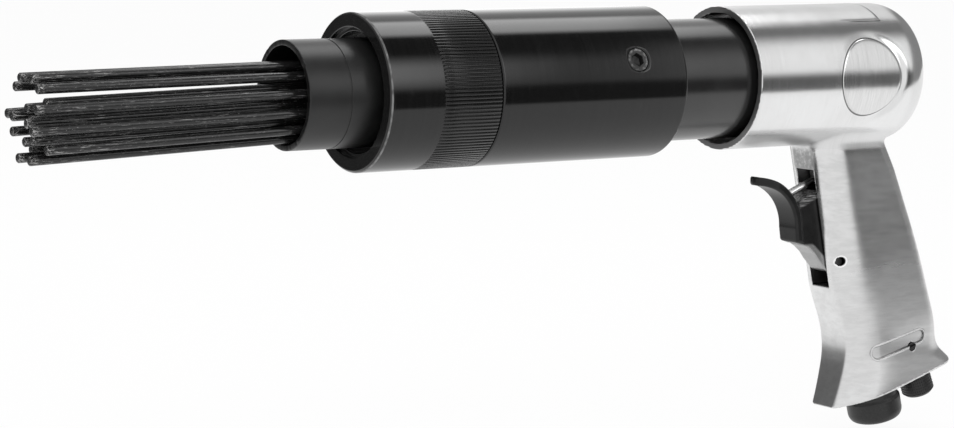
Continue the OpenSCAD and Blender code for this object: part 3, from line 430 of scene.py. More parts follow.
def rounded(corners, radius=0.3, steps=3):
    """A profile with rounded corners and a close pair of points at the ends of each straight run

    A third number gives a corner its own radius.
    """
    out = []
    for i, corner in enumerate(corners):
        p = np.array(corner[:2], float)
        a = np.array(corners[i - 1][:2], float) - p
        b = np.array(corners[(i + 1) % len(corners)][:2], float) - p
        r = corner[2] if len(corner) > 2 else radius
        cut = min(r, 0.45 * np.hypot(*a), 0.45 * np.hypot(*b))
        if cut < 1e-4 or p[1] < 1e-6:
            out.append(tuple(p))
            continue
        a, b = p + a / np.hypot(*a) * cut, p + b / np.hypot(*b) * cut
        for t in np.linspace(0, 1, steps + 1):
            out.append(tuple((1 - t) ** 2 * a + 2 * t * (1 - t) * p + t * t * b))
    full = []
    for p, q in zip(out, out[1:] + out[:1]):
        full.append(p)
        length = math.dist(p, q)
        if length > 1.6 and max(p[1], q[1]) > 1e-6:
            for share in (0.25 / length, 1 - 0.25 / length):
                full.append((p[0] + (q[0] - p[0]) * share, p[1] + (q[1] - p[1]) * share))
    return full


def lathe(profile, segments, turn=0.0, leave_out=None):
    """Points, faces and rings of a closed profile of (height, radius) turned about +Z"""
    points, faces, rings = [], [], []
    angles = turn + TURN * np.arange(segments) / segments
    for height, radius in profile:
        first = len(points)
        if radius < 1e-6:
            rings.append([first] * segments)
            points.append((0.0, 0.0, height))
        else:
            rings.append(list(range(first, first + segments)))
            points += [(radius * math.cos(a), radius * math.sin(a), height) for a in angles]
    for i in range(len(profile)):
        low, high = rings[i], rings[(i + 1) % len(profile)]
        for j in range(segments):
            k = (j + 1) % segments
            if leave_out and leave_out(i, j):
                continue
            face = tuple(dict.fromkeys((low[j], low[k], high[k], high[j])))
            if len(face) > 2:
                faces.append(face)
    return points, faces, rings


def placed(points, origin, along, side):
    """Points moved so that +Z runs along one direction and +X to one side"""
    z = np.array(along, float) / np.linalg.norm(along)
    x = np.array(side, float) - z * np.dot(side, z)
    x /= np.linalg.norm(x)
    y = np.cross(z, x)
    return np.asarray(points, float) @ np.array([x, y, z]) + np.array(origin, float)


def slope_axis(degrees):
    """A direction in the middle plane, up and forward of vertical"""
    up, ahead = ray(degrees)
    return (-ahead, 0, up)


BARREL = ((0, 0, 0), (1, 0, 0), (0, -1, 0))
INLET = ((140.55, 0, -114.565), slope_axis(14), (0, -1, 0))
REGULATOR = ((160.35, 0, -109.628), slope_axis(21), (0, -1, 0))
THROTTLE = ((103.203, 0, -41.0), slope_axis(-68), (0, -1, 0))


def turned_piece(name, profile, material, frame_at, segments=192, wobble=None):
    """An object turned from a profile of (place along its axis, radius)"""
    points, faces, _ = lathe(profile, segments)
    points = np.array(points)
    if wobble:
        points = wobble(points)
    return add_mesh(name, placed(points, *frame_at), faces, material)


def belt(a, b):
    """Quads between two rings of points"""
    n = len(a)
    return [(a[k], a[(k + 1) % n], b[(k + 1) % n], b[k]) for k in range(n)]


def apply_modifiers(piece):
    """Gives a piece the mesh that its modifiers make, and takes them off"""
    bpy.context.view_layer.update()
    ready = piece.evaluated_get(bpy.context.evaluated_depsgraph_get())
    mesh = bpy.data.meshes.new_from_object(ready)
    piece.modifiers.clear()
    piece.data = mesh
    return mesh


def stepped(corners, step):
    """Points about one step apart round a closed outline"""
    out = []
    for (u0, v0), (u1, v1) in zip(corners, corners[1:] + corners[:1]):
        count = max(1, round(math.hypot(u1 - u0, v1 - v0) / step))
        out += [(u0 + (u1 - u0) * k / count, v0 + (v1 - v0) * k / count) for k in range(count)]
    return out


def ring_of(name, rib_points, rib_faces, count, material, frame_at):
    """One rib repeated round an axis with Geometry Nodes and made one plain mesh"""
    rib = add_mesh(name + "_rib", rib_points, rib_faces, material)
    tree = bpy.data.node_groups.new(name, "GeometryNodeTree")
    tree.interface.new_socket("Rib", in_out="INPUT", socket_type="NodeSocketObject")
    tree.interface.new_socket("Count", in_out="INPUT", socket_type="NodeSocketInt")
    tree.interface.new_socket("Ribs", in_out="OUTPUT", socket_type="NodeSocketGeometry")
    new = tree.nodes.new
    given, result = new("NodeGroupInput"), new("NodeGroupOutput")
    points, index = new("GeometryNodePoints"), new("GeometryNodeInputIndex")
    share, angle = new("ShaderNodeMath"), new("ShaderNodeMath")
    share.operation, angle.operation = "DIVIDE", "MULTIPLY"
    angle.inputs[1].default_value = TURN
    euler, rotation = new("ShaderNodeCombineXYZ"), new("FunctionNodeEulerToRotation")
    info, copies = new("GeometryNodeObjectInfo"), new("GeometryNodeInstanceOnPoints")
    real, painted = new("GeometryNodeRealizeInstances"), new("GeometryNodeSetMaterial")
    painted.inputs["Material"].default_value = material
    for source, output, target, into in (
            (given, "Count", points, "Count"), (index, 0, share, 0), (given, "Count", share, 1), (share, 0, angle, 0),
            (angle, 0, euler, "Z"), (euler, 0, rotation, 0), (given, "Rib", info, "Object"),
            (points, 0, copies, "Points"), (info, "Geometry", copies, "Instance"), (rotation, 0, copies, "Rotation"),
            (copies, 0, real, 0), (real, 0, painted, "Geometry"), (painted, 0, result, 0)):
        tree.links.new(source.outputs[output], target.inputs[into])
    carrier = linked(name, bpy.data.meshes.new(name + "_start"))
    modifier = carrier.modifiers.new("ribs", "NODES")
    modifier.node_group = tree
    sockets = {s.name: s.identifier for s in tree.interface.items_tree if s.in_out == "INPUT"}
    modifier[sockets["Rib"]] = rib
    modifier[sockets["Count"]] = count
    mesh = apply_modifiers(carrier)
    flat = np.array([v.co for v in mesh.vertices]) / MM
    mesh.vertices.foreach_set("co", (placed(flat, *frame_at) * MM).ravel())
    mesh.update()
    bpy.data.objects.remove(rib)
    return carrier


# ---------------- shapes given by a distance

def round_max(a, b, r):
    """Both at once, with the edge between them rounded"""
    return np.minimum(np.maximum(a, b), -r) + np.hypot(np.maximum(a + r, 0), np.maximum(b + r, 0))


def round_min(a, b, r):
    """Either one, with a fillet where they meet"""
    return np.maximum(np.minimum(a, b), r) - np.hypot(np.maximum(r - a, 0), np.maximum(r - b, 0))


def spaced(start, *runs):
    """Grid lines from start through runs of (end, spacing)"""
    lines = [start]
    for end, step in runs:
        count = max(1, round((end - lines[-1]) / step))
        lines += list(np.linspace(lines[-1], end, count + 1)[1:])
    return np.array(lines)


def before_and_after(axis, rest):
    """Slices of a grid before and after each step along one axis, with one slice for the other axes"""
    near, far = [rest] * 3, [rest] * 3
    near[axis], far[axis] = slice(None, -1), slice(1, None)
    return tuple(near), tuple(far)


def surface_net(distance, xs, ys, zs):
    """Quads on the zero surface of a distance function: one point in each grid cell that it crosses"""
    grid = np.meshgrid(xs, ys, zs, indexing="ij")
    field = distance(*grid)
    lines = (xs, ys, zs)
    inside = field < 0
    cells = tuple(n - 1 for n in field.shape)
    total, hits = np.zeros(cells + (3,)), np.zeros(cells)
    for axis in range(3):
        near, far = before_and_after(axis, slice(None))
        at = np.nonzero(inside[near] != inside[far])
        f0, f1 = field[near][at], field[far][at]
        share = f0 / (f0 - f1)
        where = np.stack([lines[k][at[k]] for k in range(3)], 1)
        step = lines[axis][at[axis] + 1] - lines[axis][at[axis]]
        where[:, axis] += share * step
        others = [k for k in range(3) if k != axis]
        for da, db in ((0, 0), (0, 1), (1, 0), (1, 1)):
            cell = list(at)
            cell[others[0]] = at[others[0]] - da
            cell[others[1]] = at[others[1]] - db
            ok = np.ones(len(where), bool)
            for k in range(3):
                ok &= (cell[k] >= 0) & (cell[k] < cells[k])
            cell = tuple(c[ok] for c in cell)
            np.add.at(total, cell, where[ok])
            np.add.at(hits, cell, 1)
    active = hits > 0
    number = -np.ones(cells, int)
    number[active] = np.arange(active.sum())
    points = total[active] / hits[active][:, None]
    quads = []
    for axis in range(3):
        b, c = (axis + 1) % 3, (axis + 2) % 3
        near, far = before_and_after(axis, slice(1, -1))
        at = list(np.nonzero(inside[near] != inside[far]))
        at[b], at[c] = at[b] + 1, at[c] + 1
        out = inside[tuple(at)]
        loop = []
        for db, dc in ((1, 1), (0, 1), (0, 0), (1, 0)):
            cell = list(at)
            cell[b], cell[c] = at[b] - db, at[c] - dc
            loop.append(number[tuple(cell)])
        loop = np.stack(loop, 1)
        loop[~out] = loop[~out][:, ::-1]
        quads.append(loop)
    quads = np.concatenate(quads)
    return points, quads[(quads >= 0).all(1)]


def slope_at(distance, points, e=0.02):
    """The distance function's gradient, from steps of e each way"""
    x, y, z = points.T
    return np.stack([
        distance(x + e, y, z) - distance(x - e, y, z),
        distance(x, y + e, z) - distance(x, y - e, z),
        distance(x, y, z + e) - distance(x, y, z - e)], 1) / (2 * e)


def onto(distance, points, rounds=3, reach=0.4):
    """Points moved onto the zero surface"""
    for _ in range(rounds):
        f = distance(*points.T)
        slope = slope_at(distance, points)
        move = -slope * (f / np.maximum((slope ** 2).sum(1), 0.05))[:, None]
        length = np.linalg.norm(move, axis=1, keepdims=True)
        points = points + move * np.minimum(1, reach / np.maximum(length, 1e-9))
    return points


def relaxed(points, quads, share=0.5):
    """Points moved towards the middle of their neighbours"""
    total, hits = np.zeros_like(points), np.zeros(len(points))
    for a, b in ((0, 1), (1, 2), (2, 3), (3, 0)):
        for i, j in ((a, b), (b, a)):
            np.add.at(total, quads[:, i], points[quads[:, j]])
            np.add.at(hits, quads[:, i], 1)
    return points + share * (total / hits[:, None] - points)


def shell(name, distance, xs, ys, zs, material, sharp=50.0):
    """A mesh of a distance function's zero surface, shaded with its true slope where the faces follow it"""
    points, quads = surface_net(distance, xs, ys, zs)
    points = onto(distance, points)
    for _ in range(2):
        points = onto(distance, relaxed(points, quads), 2)
    made = add_mesh(name, points, [tuple(q) for q in quads.tolist()], material, sharp)
    true = slope_at(distance, points, 0.05)
    true /= np.maximum(np.linalg.norm(true, axis=1, keepdims=True), 1e-9)
    mesh = made.data
    corner = np.empty(len(mesh.loops), int)
    mesh.loops.foreach_get("vertex_index", corner)
    face = np.empty(len(mesh.polygons) * 3)
    mesh.polygons.foreach_get("normal", face)
    face = np.repeat(face.reshape(-1, 3), 4, axis=0)
    area = np.empty(len(mesh.polygons))
    mesh.polygons.foreach_get("area", area)
    sliver = np.repeat(area < 0.05 * MM * MM, 4)
    agrees = ((true[corner] * face).sum(1) > math.cos(math.radians(20))) | sliver
    mesh.normals_split_custom_set((true[corner] * agrees[:, None]).tolist())
    return made


def smooth_line(pairs, width=1.4):
    """A curve through (place, value) pairs, softened at its corners, and its slope"""
    step = 0.25
    at = np.arange(-10, 160, step)
    value = np.interp(at, [p[0] for p in pairs], [p[1] for p in pairs])
    spread = np.arange(-6 * width, 6 * width + step, step)
    weight = np.exp(-0.5 * (spread / width) ** 2)
    weight /= weight.sum()
    pad = len(spread) // 2
    long = np.concatenate([np.full(pad, value[0]), value, np.full(pad, value[-1])])
    value = np.convolve(long, weight, "valid")[:len(at)]
    slope = np.gradient(value, at)
    return lambda h: np.interp(h, at, value), lambda h: np.interp(h, at, slope)


# ---------------- housing

GRIP_X = 105.95
FRONT, FRONT_SLOPE = smooth_line([
    (10, -2.9), (24, 0), (76, 9.9), (82, 12.1), (88, 14.7), (94, 16.4), (99, 16.8),
    (104, 16.3), (110, 14.9), (116, 13.2), (121, 11.5), (130, 9)])
BACK, BACK_SLOPE = smooth_line([
    (10, 25), (24, 30.4), (34, 35.7), (45, 40.3), (56, 45), (66, 48.9), (76, 52.3),
    (84, 55.1), (90, 57.2), (96.8, 59.5), (99.6, 61.1), (101.8, 63.1), (103.9, 65.9), (105.1, 67.6),
    (107, 68.8), (112, 69.6), (130, 70)], 1.0)
SIDE, _ = smooth_line([(10, 12.3), (24, 12.3), (45, 12.2), (60, 12.0), (75, 11.7), (88, 11.35), (97, 11.3),
                       (101, 11.35), (106, 12.4), (111, 13.6), (116, 14.2), (130, 14.4)], 2.4)
NOSE, _ = smooth_line([(10, 7.2), (95, 7.2), (108, 6.5), (116, 5.9), (122, 5.5), (130, 5.5)], 3)
HEEL, _ = smooth_line([(10, 0), (90, 0), (107, 1), (130, 1)], 3)
REACH, _ = smooth_line([(10, 12), (50, 16), (70, 20.5), (90, 25), (130, 26)], 3)
FRONT_EDGE, _ = smooth_line([(10, 2.6), (70, 2.6), (86, 1.1), (130, 0.9)], 3)


def grip_side(h, u):
    """Half width of the grip at a depth and a distance behind its front"""
    half, nose, heel = SIDE(h), NOSE(h), HEEL(h)
    t = np.clip(u / REACH(h), 0, 1)
    flank = nose + (half - nose) * (1 - (1 - t) ** 3)
    length = np.maximum(BACK(h) - FRONT(h) - 13 - 5 - 3 * heel, 10)
    return flank - 2.4 * heel * np.clip((u - 13) / length, 0, 1.4)


def tube_form(x, y, z):
    """The barrel part of the casting: a tube with a domed rear, dished a little round the side pads"""
    rho = np.hypot(y, z)
    u = np.maximum(x - DOME_X, 0) / DOME_LEN
    v = np.maximum(rho / HOUSING_R, 1e-6)
    q = (u ** DOME_POWER + v ** DOME_POWER) ** (1 / DOME_POWER)
    steep = np.hypot((u / q) ** (DOME_POWER - 1) / DOME_LEN, (v / q) ** (DOME_POWER - 1) / HOUSING_R)
    form = (q - 1) / steep
    off = np.hypot(x - PAD_X, z) - PAD_R
    deeper_behind = np.clip(0.5 + (x - PAD_X) / 26, 0.08, 1)
    dish = 0.62 * np.exp(-(np.maximum(off, 0) / 2.3) ** 2) * (np.abs(y) > 12) * deeper_behind
    return round_max(form + dish, HOUSING_X - x, 0.3)


def grip_form(x, y, z):
    """The pistol grip, from its outlines by depth below the barrel's axis"""
    h = -z
    u = x - GRIP_X - FRONT(h)
    front = -u / np.hypot(1, FRONT_SLOPE(h))
    rear = (x - GRIP_X - BACK(h)) / np.hypot(1, BACK_SLOPE(h))
    side = (np.abs(y) - grip_side(h, u)) / np.where(u < 13, 1.08, 1.0)
    form = round_max(front, side, FRONT_EDGE(h))
    form = round_max(form, rear, 5 + 3 * HEEL(h))
    cos, sin = ray(14)
    base = (x - 117.95) * sin - (z + 120.2) * cos
    form = round_max(form, base, 0.9)
    return np.maximum(form, z + 9)


def stub(x, y, z, origin, along, low, high, r):
    """Distance to a round bar on a sloping axis of the middle plane"""
    dx, dz = x - origin[0], z - origin[2]
    s = dx * along[0] + dz * along[2]
    off = np.hypot(dx * along[2] - dz * along[0], y)
    return np.maximum(off - r, np.maximum(low - s, s - high))


def housing_distance(x, y, z):
    """The casting with its bore, trigger slot, fitting and pin holes and plaque recess"""
    form = round_min(tube_form(x, y, z), grip_form(x, y, z), 2.6)
    rho = np.hypot(y, z)
    bore = np.minimum(np.maximum(rho - 22.5, x - 92.65), np.maximum(rho - 20.75, x - 122.65))
    form = round_max(form, -bore, 0.35)
    slot_mid, slot_reach, slot_depth, slot_half = 54.85, 21.15, 8.5, 4.65
    top, end = FRONT(slot_mid - slot_reach), FRONT(slot_mid + slot_reach)
    slot_back = GRIP_X + top + slot_depth + (-z - slot_mid + slot_reach) * (end - top) / (2 * slot_reach)
    slot = np.maximum(np.abs(y) - slot_half, np.maximum(x - slot_back, np.abs(z + slot_mid) - slot_reach))
    form = round_max(form, -slot, 0.4)
    for (origin, along, _), low, high, r in (
            (INLET, -3, 17.5, 7.95), (REGULATOR, -5, 24.2, 5.45), (THROTTLE, 0, 34.29, 4.05)):
        form = np.maximum(form, -stub(x, y, z, origin, along, low, high, r))
    for px, pz in (PIN, RETAINER):
        form = round_max(form, 1.53 - np.hypot(x - px, z - pz), 0.3)
    along, across = on_plaque(x, z)
    oval = np.hypot(np.maximum(np.abs(along) - PLAQUE_RUN, 0), across) - PLAQUE_R
    floor = y + grip_side(-z, x - GRIP_X - FRONT(-z)) - 0.5
    return round_max(form, -np.maximum(oval, floor), 0.15)


def island(name, outline, surface, material, bevel=0.22, depth=1.2):
    """A thin raised plate with a rounded edge, laid on a curved surface"""
    outline = np.array(outline, float)
    middle = (outline.max(0) + outline.min(0)) / 2
    size = np.abs(outline - middle).max()
    levels = [(t, 0.0) for t in (0.12, 0.25, 0.4, 0.55, 0.7, 0.82, 0.92)]
    levels += [(1 - b * bevel / size, (1 - b) ** 2 * bevel) for b in (1.0, 0.7, 0.4, 0.15, 0.0)]
    levels += [(1.0, depth), (0.5, depth)]
    points = [surface(middle[0], middle[1], 0.0)]
    n = len(outline)
    for t, drop in levels:
        ring = middle + t * (outline - middle)
        points += [surface(u, v, drop) for u, v in ring]
    points.append(surface(middle[0], middle[1], depth))
    faces = [(0, 1 + k, 1 + (k + 1) % n) for k in range(n)]
    for i in range(len(levels) - 1):
        a, b = 1 + i * n, 1 + (i + 1) * n
        faces += [(a + k, b + k, b + (k + 1) % n, a + (k + 1) % n) for k in range(n)]
    last, a = len(points) - 1, 1 + (len(levels) - 1) * n
    faces += [(a + k, last, a + (k + 1) % n) for k in range(n)]
    return add_mesh(name, points, faces, material, 60)


def rim_of_plaque(name, material):
    """A fine raised bead round the recess, following the grip's side"""
    cos, sin = ray(PLAQUE_TILT)
    path = [(end * PLAQUE_RUN + PLAQUE_R * ray(t)[0], PLAQUE_R * ray(t)[1])
            for end, start in ((1, -90), (-1, 90)) for t in np.linspace(start, start + 180, 17)]
    path = stepped(path, 1.0)
    path = [p for i, p in enumerate(path) if math.dist(p, path[i - 1]) > 1e-6]
    points, faces, sides, n = [], [], 8, len(path)
    rings = [range(i * sides, (i + 1) * sides) for i in range(n)]
    for i, (u, v) in enumerate(path):
        before, after = np.array(path[i - 1]), np.array(path[(i + 1) % n])
        run = (after - before) / np.linalg.norm(after - before)
        for k in range(sides):
            t = TURN * k / sides
            du, dv = u + run[1] * 0.42 * math.cos(t), v - run[0] * 0.42 * math.cos(t)
            x, z = PLAQUE_X + du * cos - dv * sin, PLAQUE_Z + du * sin + dv * cos
            skin = grip_side(-z, x - GRIP_X - FRONT(-z))
            points.append((x, -skin - 0.02 - 0.26 * math.sin(t), z))
    for a, b in zip(rings, rings[1:] + rings[:1]):
        faces += belt(a, b)
    return add_mesh(name, points, faces, material, 80)


def make_housing(finishes):
    """The casting, its round pads, its top pad and the plaque's bead"""
    cast = finishes["cast_housing"]
    xs = spaced(67.1, (69.6, 0.32), (104.4, 0.76), (115.2, 0.5), (119.8, 0.38),
                (148.6, 0.72), (153.2, 0.40), (177.4, 0.76))
    ys = spaced(-25.8, (-5.3, 0.74), (-4.1, 0.3), (4.1, 0.75), (5.3, 0.3), (25.8, 0.74))
    zs = spaced(-122.6, (-119.0, 0.6), (-102.0, 0.72), (-97.4, 0.40), (-68.6, 0.76), (-64.0, 0.38), (25.8, 0.76))
    dress(shell("housing_casting", housing_distance, xs, ys, zs, cast), "tool", "cast_housing", "housing")
    circle = [(PAD_X + PAD_R * math.cos(t), PAD_R * math.sin(t)) for t in TURN * np.arange(120) / 120]
    plate = finishes["pad_metal"]
    for side, name in ((-1, "round_pad_near"), (1, "round_pad_far")):
        dress(island(name, circle, lambda u, v, drop, s=side: (
            u, s * math.sqrt((HOUSING_R + 0.06 - drop) ** 2 - v * v), v), plate), "tool", "cast_housing")
    corners = [(cx + ray(start + t)[0], cy + ray(start + t)[1]) for cx, cy, start in (
        (TOP_RIGHT - 1, TOP_HALF - 1, 0), (TOP_LEFT + 1, TOP_HALF - 1, 90),
        (TOP_LEFT + 1, 1 - TOP_HALF, 180), (TOP_RIGHT - 1, 1 - TOP_HALF, 270)) for t in (0, 22, 45, 68, 90)]

    def on_top(u, v, drop):
        rise = -0.02 + 0.13 * (u - TOP_LEFT) / (TOP_RIGHT - TOP_LEFT)
        return u, v, math.sqrt((HOUSING_R + rise - drop) ** 2 - v * v)
    dress(island("top_pad", stepped(corners, 0.8), on_top, cast, 0.3), "tool", "cast_housing")
    dress(rim_of_plaque("plaque_rim", cast), "tool", "cast_housing")


# ---------------- casing, sleeve, nose and barrel

def make_casing(finishes):
    """The rear casing with a round hole for its set screw, and the screw"""
    black = finishes["blackened_steel"]
    reach, steps, lip_r, hole_r, hole_end = 6.0, 12, 4.45, 4.06, 21.0
    segments, columns = 288, 10
    corner = [
        (-36.45, 23.5), (-36.45, CASING_R, 0.6), (36.45, CASING_R, 0.9), (36.45, 20.75, 0.4),
        (4.25, 20.75), (4.25, 21.8), (-48.45, 21.8, 0.3), (-48.45, 23.5, 0.6)]
    profile = rounded(corner, 0.15, 4)
    rows = [SCREW_X + reach * (2 * k / steps - 1) for k in range(steps + 1)]
    first = max(i for i, p in enumerate(profile) if abs(p[1] - CASING_R) < 1e-6 and p[0] < rows[0])
    profile = profile[:first + 1] + [(x, CASING_R) for x in rows] + profile[first + 1:]
    row0 = first + 1
    points, faces, rings = lathe(profile, segments, math.radians(SCREW_ANGLE) - TURN * columns / segments,
                                 lambda i, j: row0 <= i < row0 + steps and j < 2 * columns)
    points = [list(p) for p in points]
    border = [rings[row0][j] for j in range(2 * columns)]
    border += [rings[row0 + i][2 * columns] for i in range(steps)]
    border += [rings[row0 + steps][2 * columns - j] for j in range(2 * columns)]
    border += [rings[row0 + steps - i][0] for i in range(steps)]
    cos, sin = ray(SCREW_ANGLE)
    out, across = np.array((cos, sin, 0)), np.array((-sin, cos, 0))

    def at(u, v, height):
        return list(out * height + across * v + np.array((0, 0, SCREW_X + u)))

    flat = []
    for index in border:
        p = np.array(points[index])
        v = CASING_R * math.atan2(p @ across, p @ out)
        flat.append((p[2] - SCREW_X, v))
    previous = border
    count = len(border)
    levels = [("skin", t, 0) for t in (0.25, 0.5, 0.75, 1.0)]
    levels += [("edge", 4.32, 0.06), ("edge", 4.12, 0.26), ("wall", hole_r, 24.8), ("wall", hole_r, hole_end)]
    for kind, value, depth in levels:
        ring = list(range(len(points), len(points) + count))
        for u, v in flat:
            a = math.atan2(v, u)
            if kind == "skin":
                pu, pv = u + (lip_r * math.cos(a) - u) * value, v + (lip_r * math.sin(a) - v) * value
                angle = pv / CASING_R
                points.append(at(pu, CASING_R * math.sin(angle), CASING_R * math.cos(angle)))
            else:
                pu, pv = value * math.cos(a), value * math.sin(a)
                points.append(at(pu, pv, math.sqrt(CASING_R ** 2 - pv * pv) - depth if kind == "edge" else depth))
        faces += belt(previous, ring)
        previous = ring
    centre = len(points)
    points.append(at(0, 0, hole_end))
    faces += [(previous[k], previous[(k + 1) % count], centre) for k in range(count)]
    dress(add_mesh("rear_casing_tube", placed(points, *BARREL), faces, black), "tool", "blackened_steel", "rear_casing")

    sides = 48
    angles = TURN * np.arange(sides) / sides

    def hexagon(a):
        return 2.0 / math.cos((a + TURN / 12) % (TURN / 6) - TURN / 12)
    layers = [(3.4, 0, 21.05), (3.99, 0, 21.05), (3.99, 0, 24.85), (3.75, 0, 25.1),
              (2.75, 0, 25.12), (0.12, 1, 25.06), (0.0, 1, 24.9), (0.0, 1, 22.8)]
    points, faces = [at(0, 0, 21.05)], []
    for value, six, height in layers:
        for a in angles:
            r = six * hexagon(a) + value
            points.append(at(r * math.cos(a), r * math.sin(a), height))
    points.append(at(0, 0, 22.0))
    for k in range(sides):
        j = (k + 1) % sides
        faces.append((0, 1 + k, 1 + j))
        for i in range(len(layers) - 1):
            a, b = 1 + i * sides, 1 + (i + 1) * sides
            faces.append((a + k, b + k, b + j, a + j))
        a = 1 + (len(layers) - 1) * sides
        faces.append((a + k, len(points) - 1, a + j))
    dress(add_mesh("set_screw", placed(points, *BARREL), faces, finishes["screw_black"]),
          "tool", "blackened_steel", "casing_set_screw")


def make_sleeve(finishes):
    """The front sleeve and the ribs of its knurled band"""
    black = finishes["blackened_steel"]
    core = CASING_R - 0.38
    profile = rounded([
        (-78.05, 20.8, 0.4), (-78.05, CASING_R - 0.7, 0.15), (-77.3, CASING_R, 0.3), (-58.0, CASING_R, 0.05),
        (-57.6, core, 0.05), (-36.85, core, 0.1), (-36.47, core - 0.5, 0.1), (-36.47, 23.55), (-48.45, 23.55),
        (-48.45, 21.8), (-65.65, 21.8), (-65.65, 17.5), (-70.65, 17.5), (-70.65, 19.4), (-76.05, 19.4, 0.35),
        (-76.05, 20.8, 0.15)], 0.15, 4)
    dress(turned_piece("front_sleeve_tube", profile, black, BARREL, 288), "tool", "blackened_steel", "front_sleeve")
    count = 128
    half = math.pi * CASING_R / count
    low, high = half * 0.80, half * 0.42
    start, end = -58.4, -36.47
    section = [(low, core - 0.25), (low, core), (high + 0.06, CASING_R - 0.07), (high - 0.06, CASING_R)]
    section = [(-v, r) for v, r in section] + section[::-1]
    stations = [(start, 1.0), (start + 0.5, 1.0), (end - 0.62, 1.0), (end - 0.3, 0.62), (end - 0.02, 0.0)]
    points, faces, n = [], [], len(section)
    for x, share in stations:
        for v, r in section:
            r = min(r, core - 0.25 + (r - core + 0.25) * share) if r > core else r - 0.3 * (1 - share)
            points.append((r, v, x))
    rings = [range(i * n, (i + 1) * n) for i in range(len(stations))]
    for a, b in zip(rings, rings[1:]):
        faces += belt(a, b)
    faces += [tuple(range(n)), tuple(range(4 * n, 5 * n))[::-1]]
    dress(ring_of("sleeve_knurl", points, faces, count, black, BARREL), "tool", "blackened_steel")


def make_nose(finishes):
    """The nose tube, its front edge a little burred"""
    profile = rounded([
        (-102.05, 15.6, 0.25), (-102.05, 17.4, 0.3), (-87.35, 17.4, 0.05), (-87.35, 17.22, 0.05),
        (-86.95, 17.22, 0.05), (-86.95, 17.4, 0.05), (-65.65, 17.4), (-65.65, 21.7), (-60.65, 21.7),
        (-60.65, 15.6)], 0.2, 3)
    rng = np.random.default_rng(7)
    waves = [(rng.integers(5, 60), rng.uniform(0, TURN), rng.uniform(0.01, 0.035)) for _ in range(16)]

    def burred(points):
        angle = np.arctan2(points[:, 1], points[:, 0])
        rough = sum(size * np.sin(turns * angle + phase) for turns, phase, size in waves)
        near = np.clip((-101.6 - points[:, 2]) / 0.45, 0, 1)
        points[:, 2] += np.maximum(rough, -0.02) * near
        return points
    dress(turned_piece("nose_tube_body", profile, finishes["nose_black"], BARREL, 256, burred),
          "nose", "blackened_steel", "nose_tube")


def make_barrel(finishes):
    """The barrel with its four ports"""
    profile = rounded([
        (4.25, 7.05), (4.25, 20.7, 0.6), (96.65, 20.7, 0.1), (96.65, 18.8), (99.25, 18.8), (99.25, 20.7, 0.1),
        (107.65, 20.7), (107.65, 12.0), (18.95, 12.0), (18.95, 7.05)], 0.2, 3)
    barrel = turned_piece("barrel_tube", profile, finishes["barrel_black"], BARREL, 192)
    drills = []
    for k in range(4):
        drill = turned_piece(f"drill_{k}", [(10.0, 0.0), (10.0, 3.0), (30.0, 3.0), (30.0, 0.0)],
                             finishes["barrel_black"], ((80.05, 0, 0), (0, *ray(45 + 90 * k)), (1, 0, 0)), 40)
        cut = barrel.modifiers.new(f"port_{k}", "BOOLEAN")
        cut.operation, cut.solver, cut.object = "DIFFERENCE", "EXACT", drill
        drills.append(drill)
    apply_modifiers(barrel).set_sharp_from_angle(angle=math.radians(35))
    for drill in drills:
        bpy.data.objects.remove(drill)
    dress(barrel, "tool", "blackened_steel", "barrel")


# ---------------- needles

PUSH = [0.1, -3.5, 3.8, 0.2, -3.2, -0.7, -0.5, -2.3, -0.6, -0.4, -1.8, -1.3, -2.9, -1.4, 3.4, -2.8, -1.5, 1.8, -3.9]
DROP = [4.5, 4.8, 4, 5.8, 3.4, 6.2, 5.3, 3.3, 2.2, 2.1, 2.1, 2.2, 5.6, 5.6, 6.3, 5.4, 5.9, 5.3, 4.1]


def make_needles(finishes):
    """19 needles, each pushed in and drooping by its own amount"""
    whole, pivot, head_mid, wire_r, head_r, head_length = 180.0, -12.05, -10.05, 1.5, 2.15, 3
    rng = np.random.default_rng(19)
    for i in range(19):
        ring = 0 if i == 0 else 5.5 if i <= 6 else 10.6
        angle = 0 if i == 0 else (i - 1) * TURN / 6 if i <= 6 else (i - 6.5) * TURN / 12
        head = head_mid + max(-3.9, min(3.9, PUSH[i]))
        front = whole - (head + head_length - pivot)
        back = whole - front
        tilt = math.asin(DROP[i] / front)
        blunt = rng.uniform(0.30, 0.5)
        profile = rounded([
            (-front, 0), (-front, wire_r - blunt, 0.12), (blunt * 0.9 - front, wire_r, 0.2),
            (back - head_length, wire_r, 0.05), (back - head_length, head_r, 0.2),
            (back, head_r, 0.3), (back, 0)], 0.1, 3)
        points, faces, _ = lathe(profile, 28)
        along = (math.cos(tilt), 0, math.sin(tilt))
        at = (pivot, -ring * math.cos(angle), ring * math.sin(angle))
        name = f"needle_{i + 1:02d}"
        wire = add_mesh(name + "_wire", placed(points, at, along, (0, -1, 0)), faces, finishes["needle_steel"])
        depth = wire.data.attributes.new("from_tip", "FLOAT", "POINT")
        depth.data.foreach_set("value", [point[2] + front for point in points])
        dress(wire, name, "needle_steel", name)


# ---------------- trigger and throttle

FINGER = (84.503, -54.0)
PLATE_R, PLATE_TOP, EYE_R = 17.3, 86, 4.4


def far_from_segment(x, z, a, b):
    """Distance to a straight line from a to b in the middle plane"""
    ax, az, bx, bz = a[0], a[1], b[0] - a[0], b[1] - a[1]
    t = np.clip(((x - ax) * bx + (z - az) * bz) / (bx * bx + bz * bz), 0, 1)
    return np.hypot(x - ax - t * bx, z - az - t * bz)


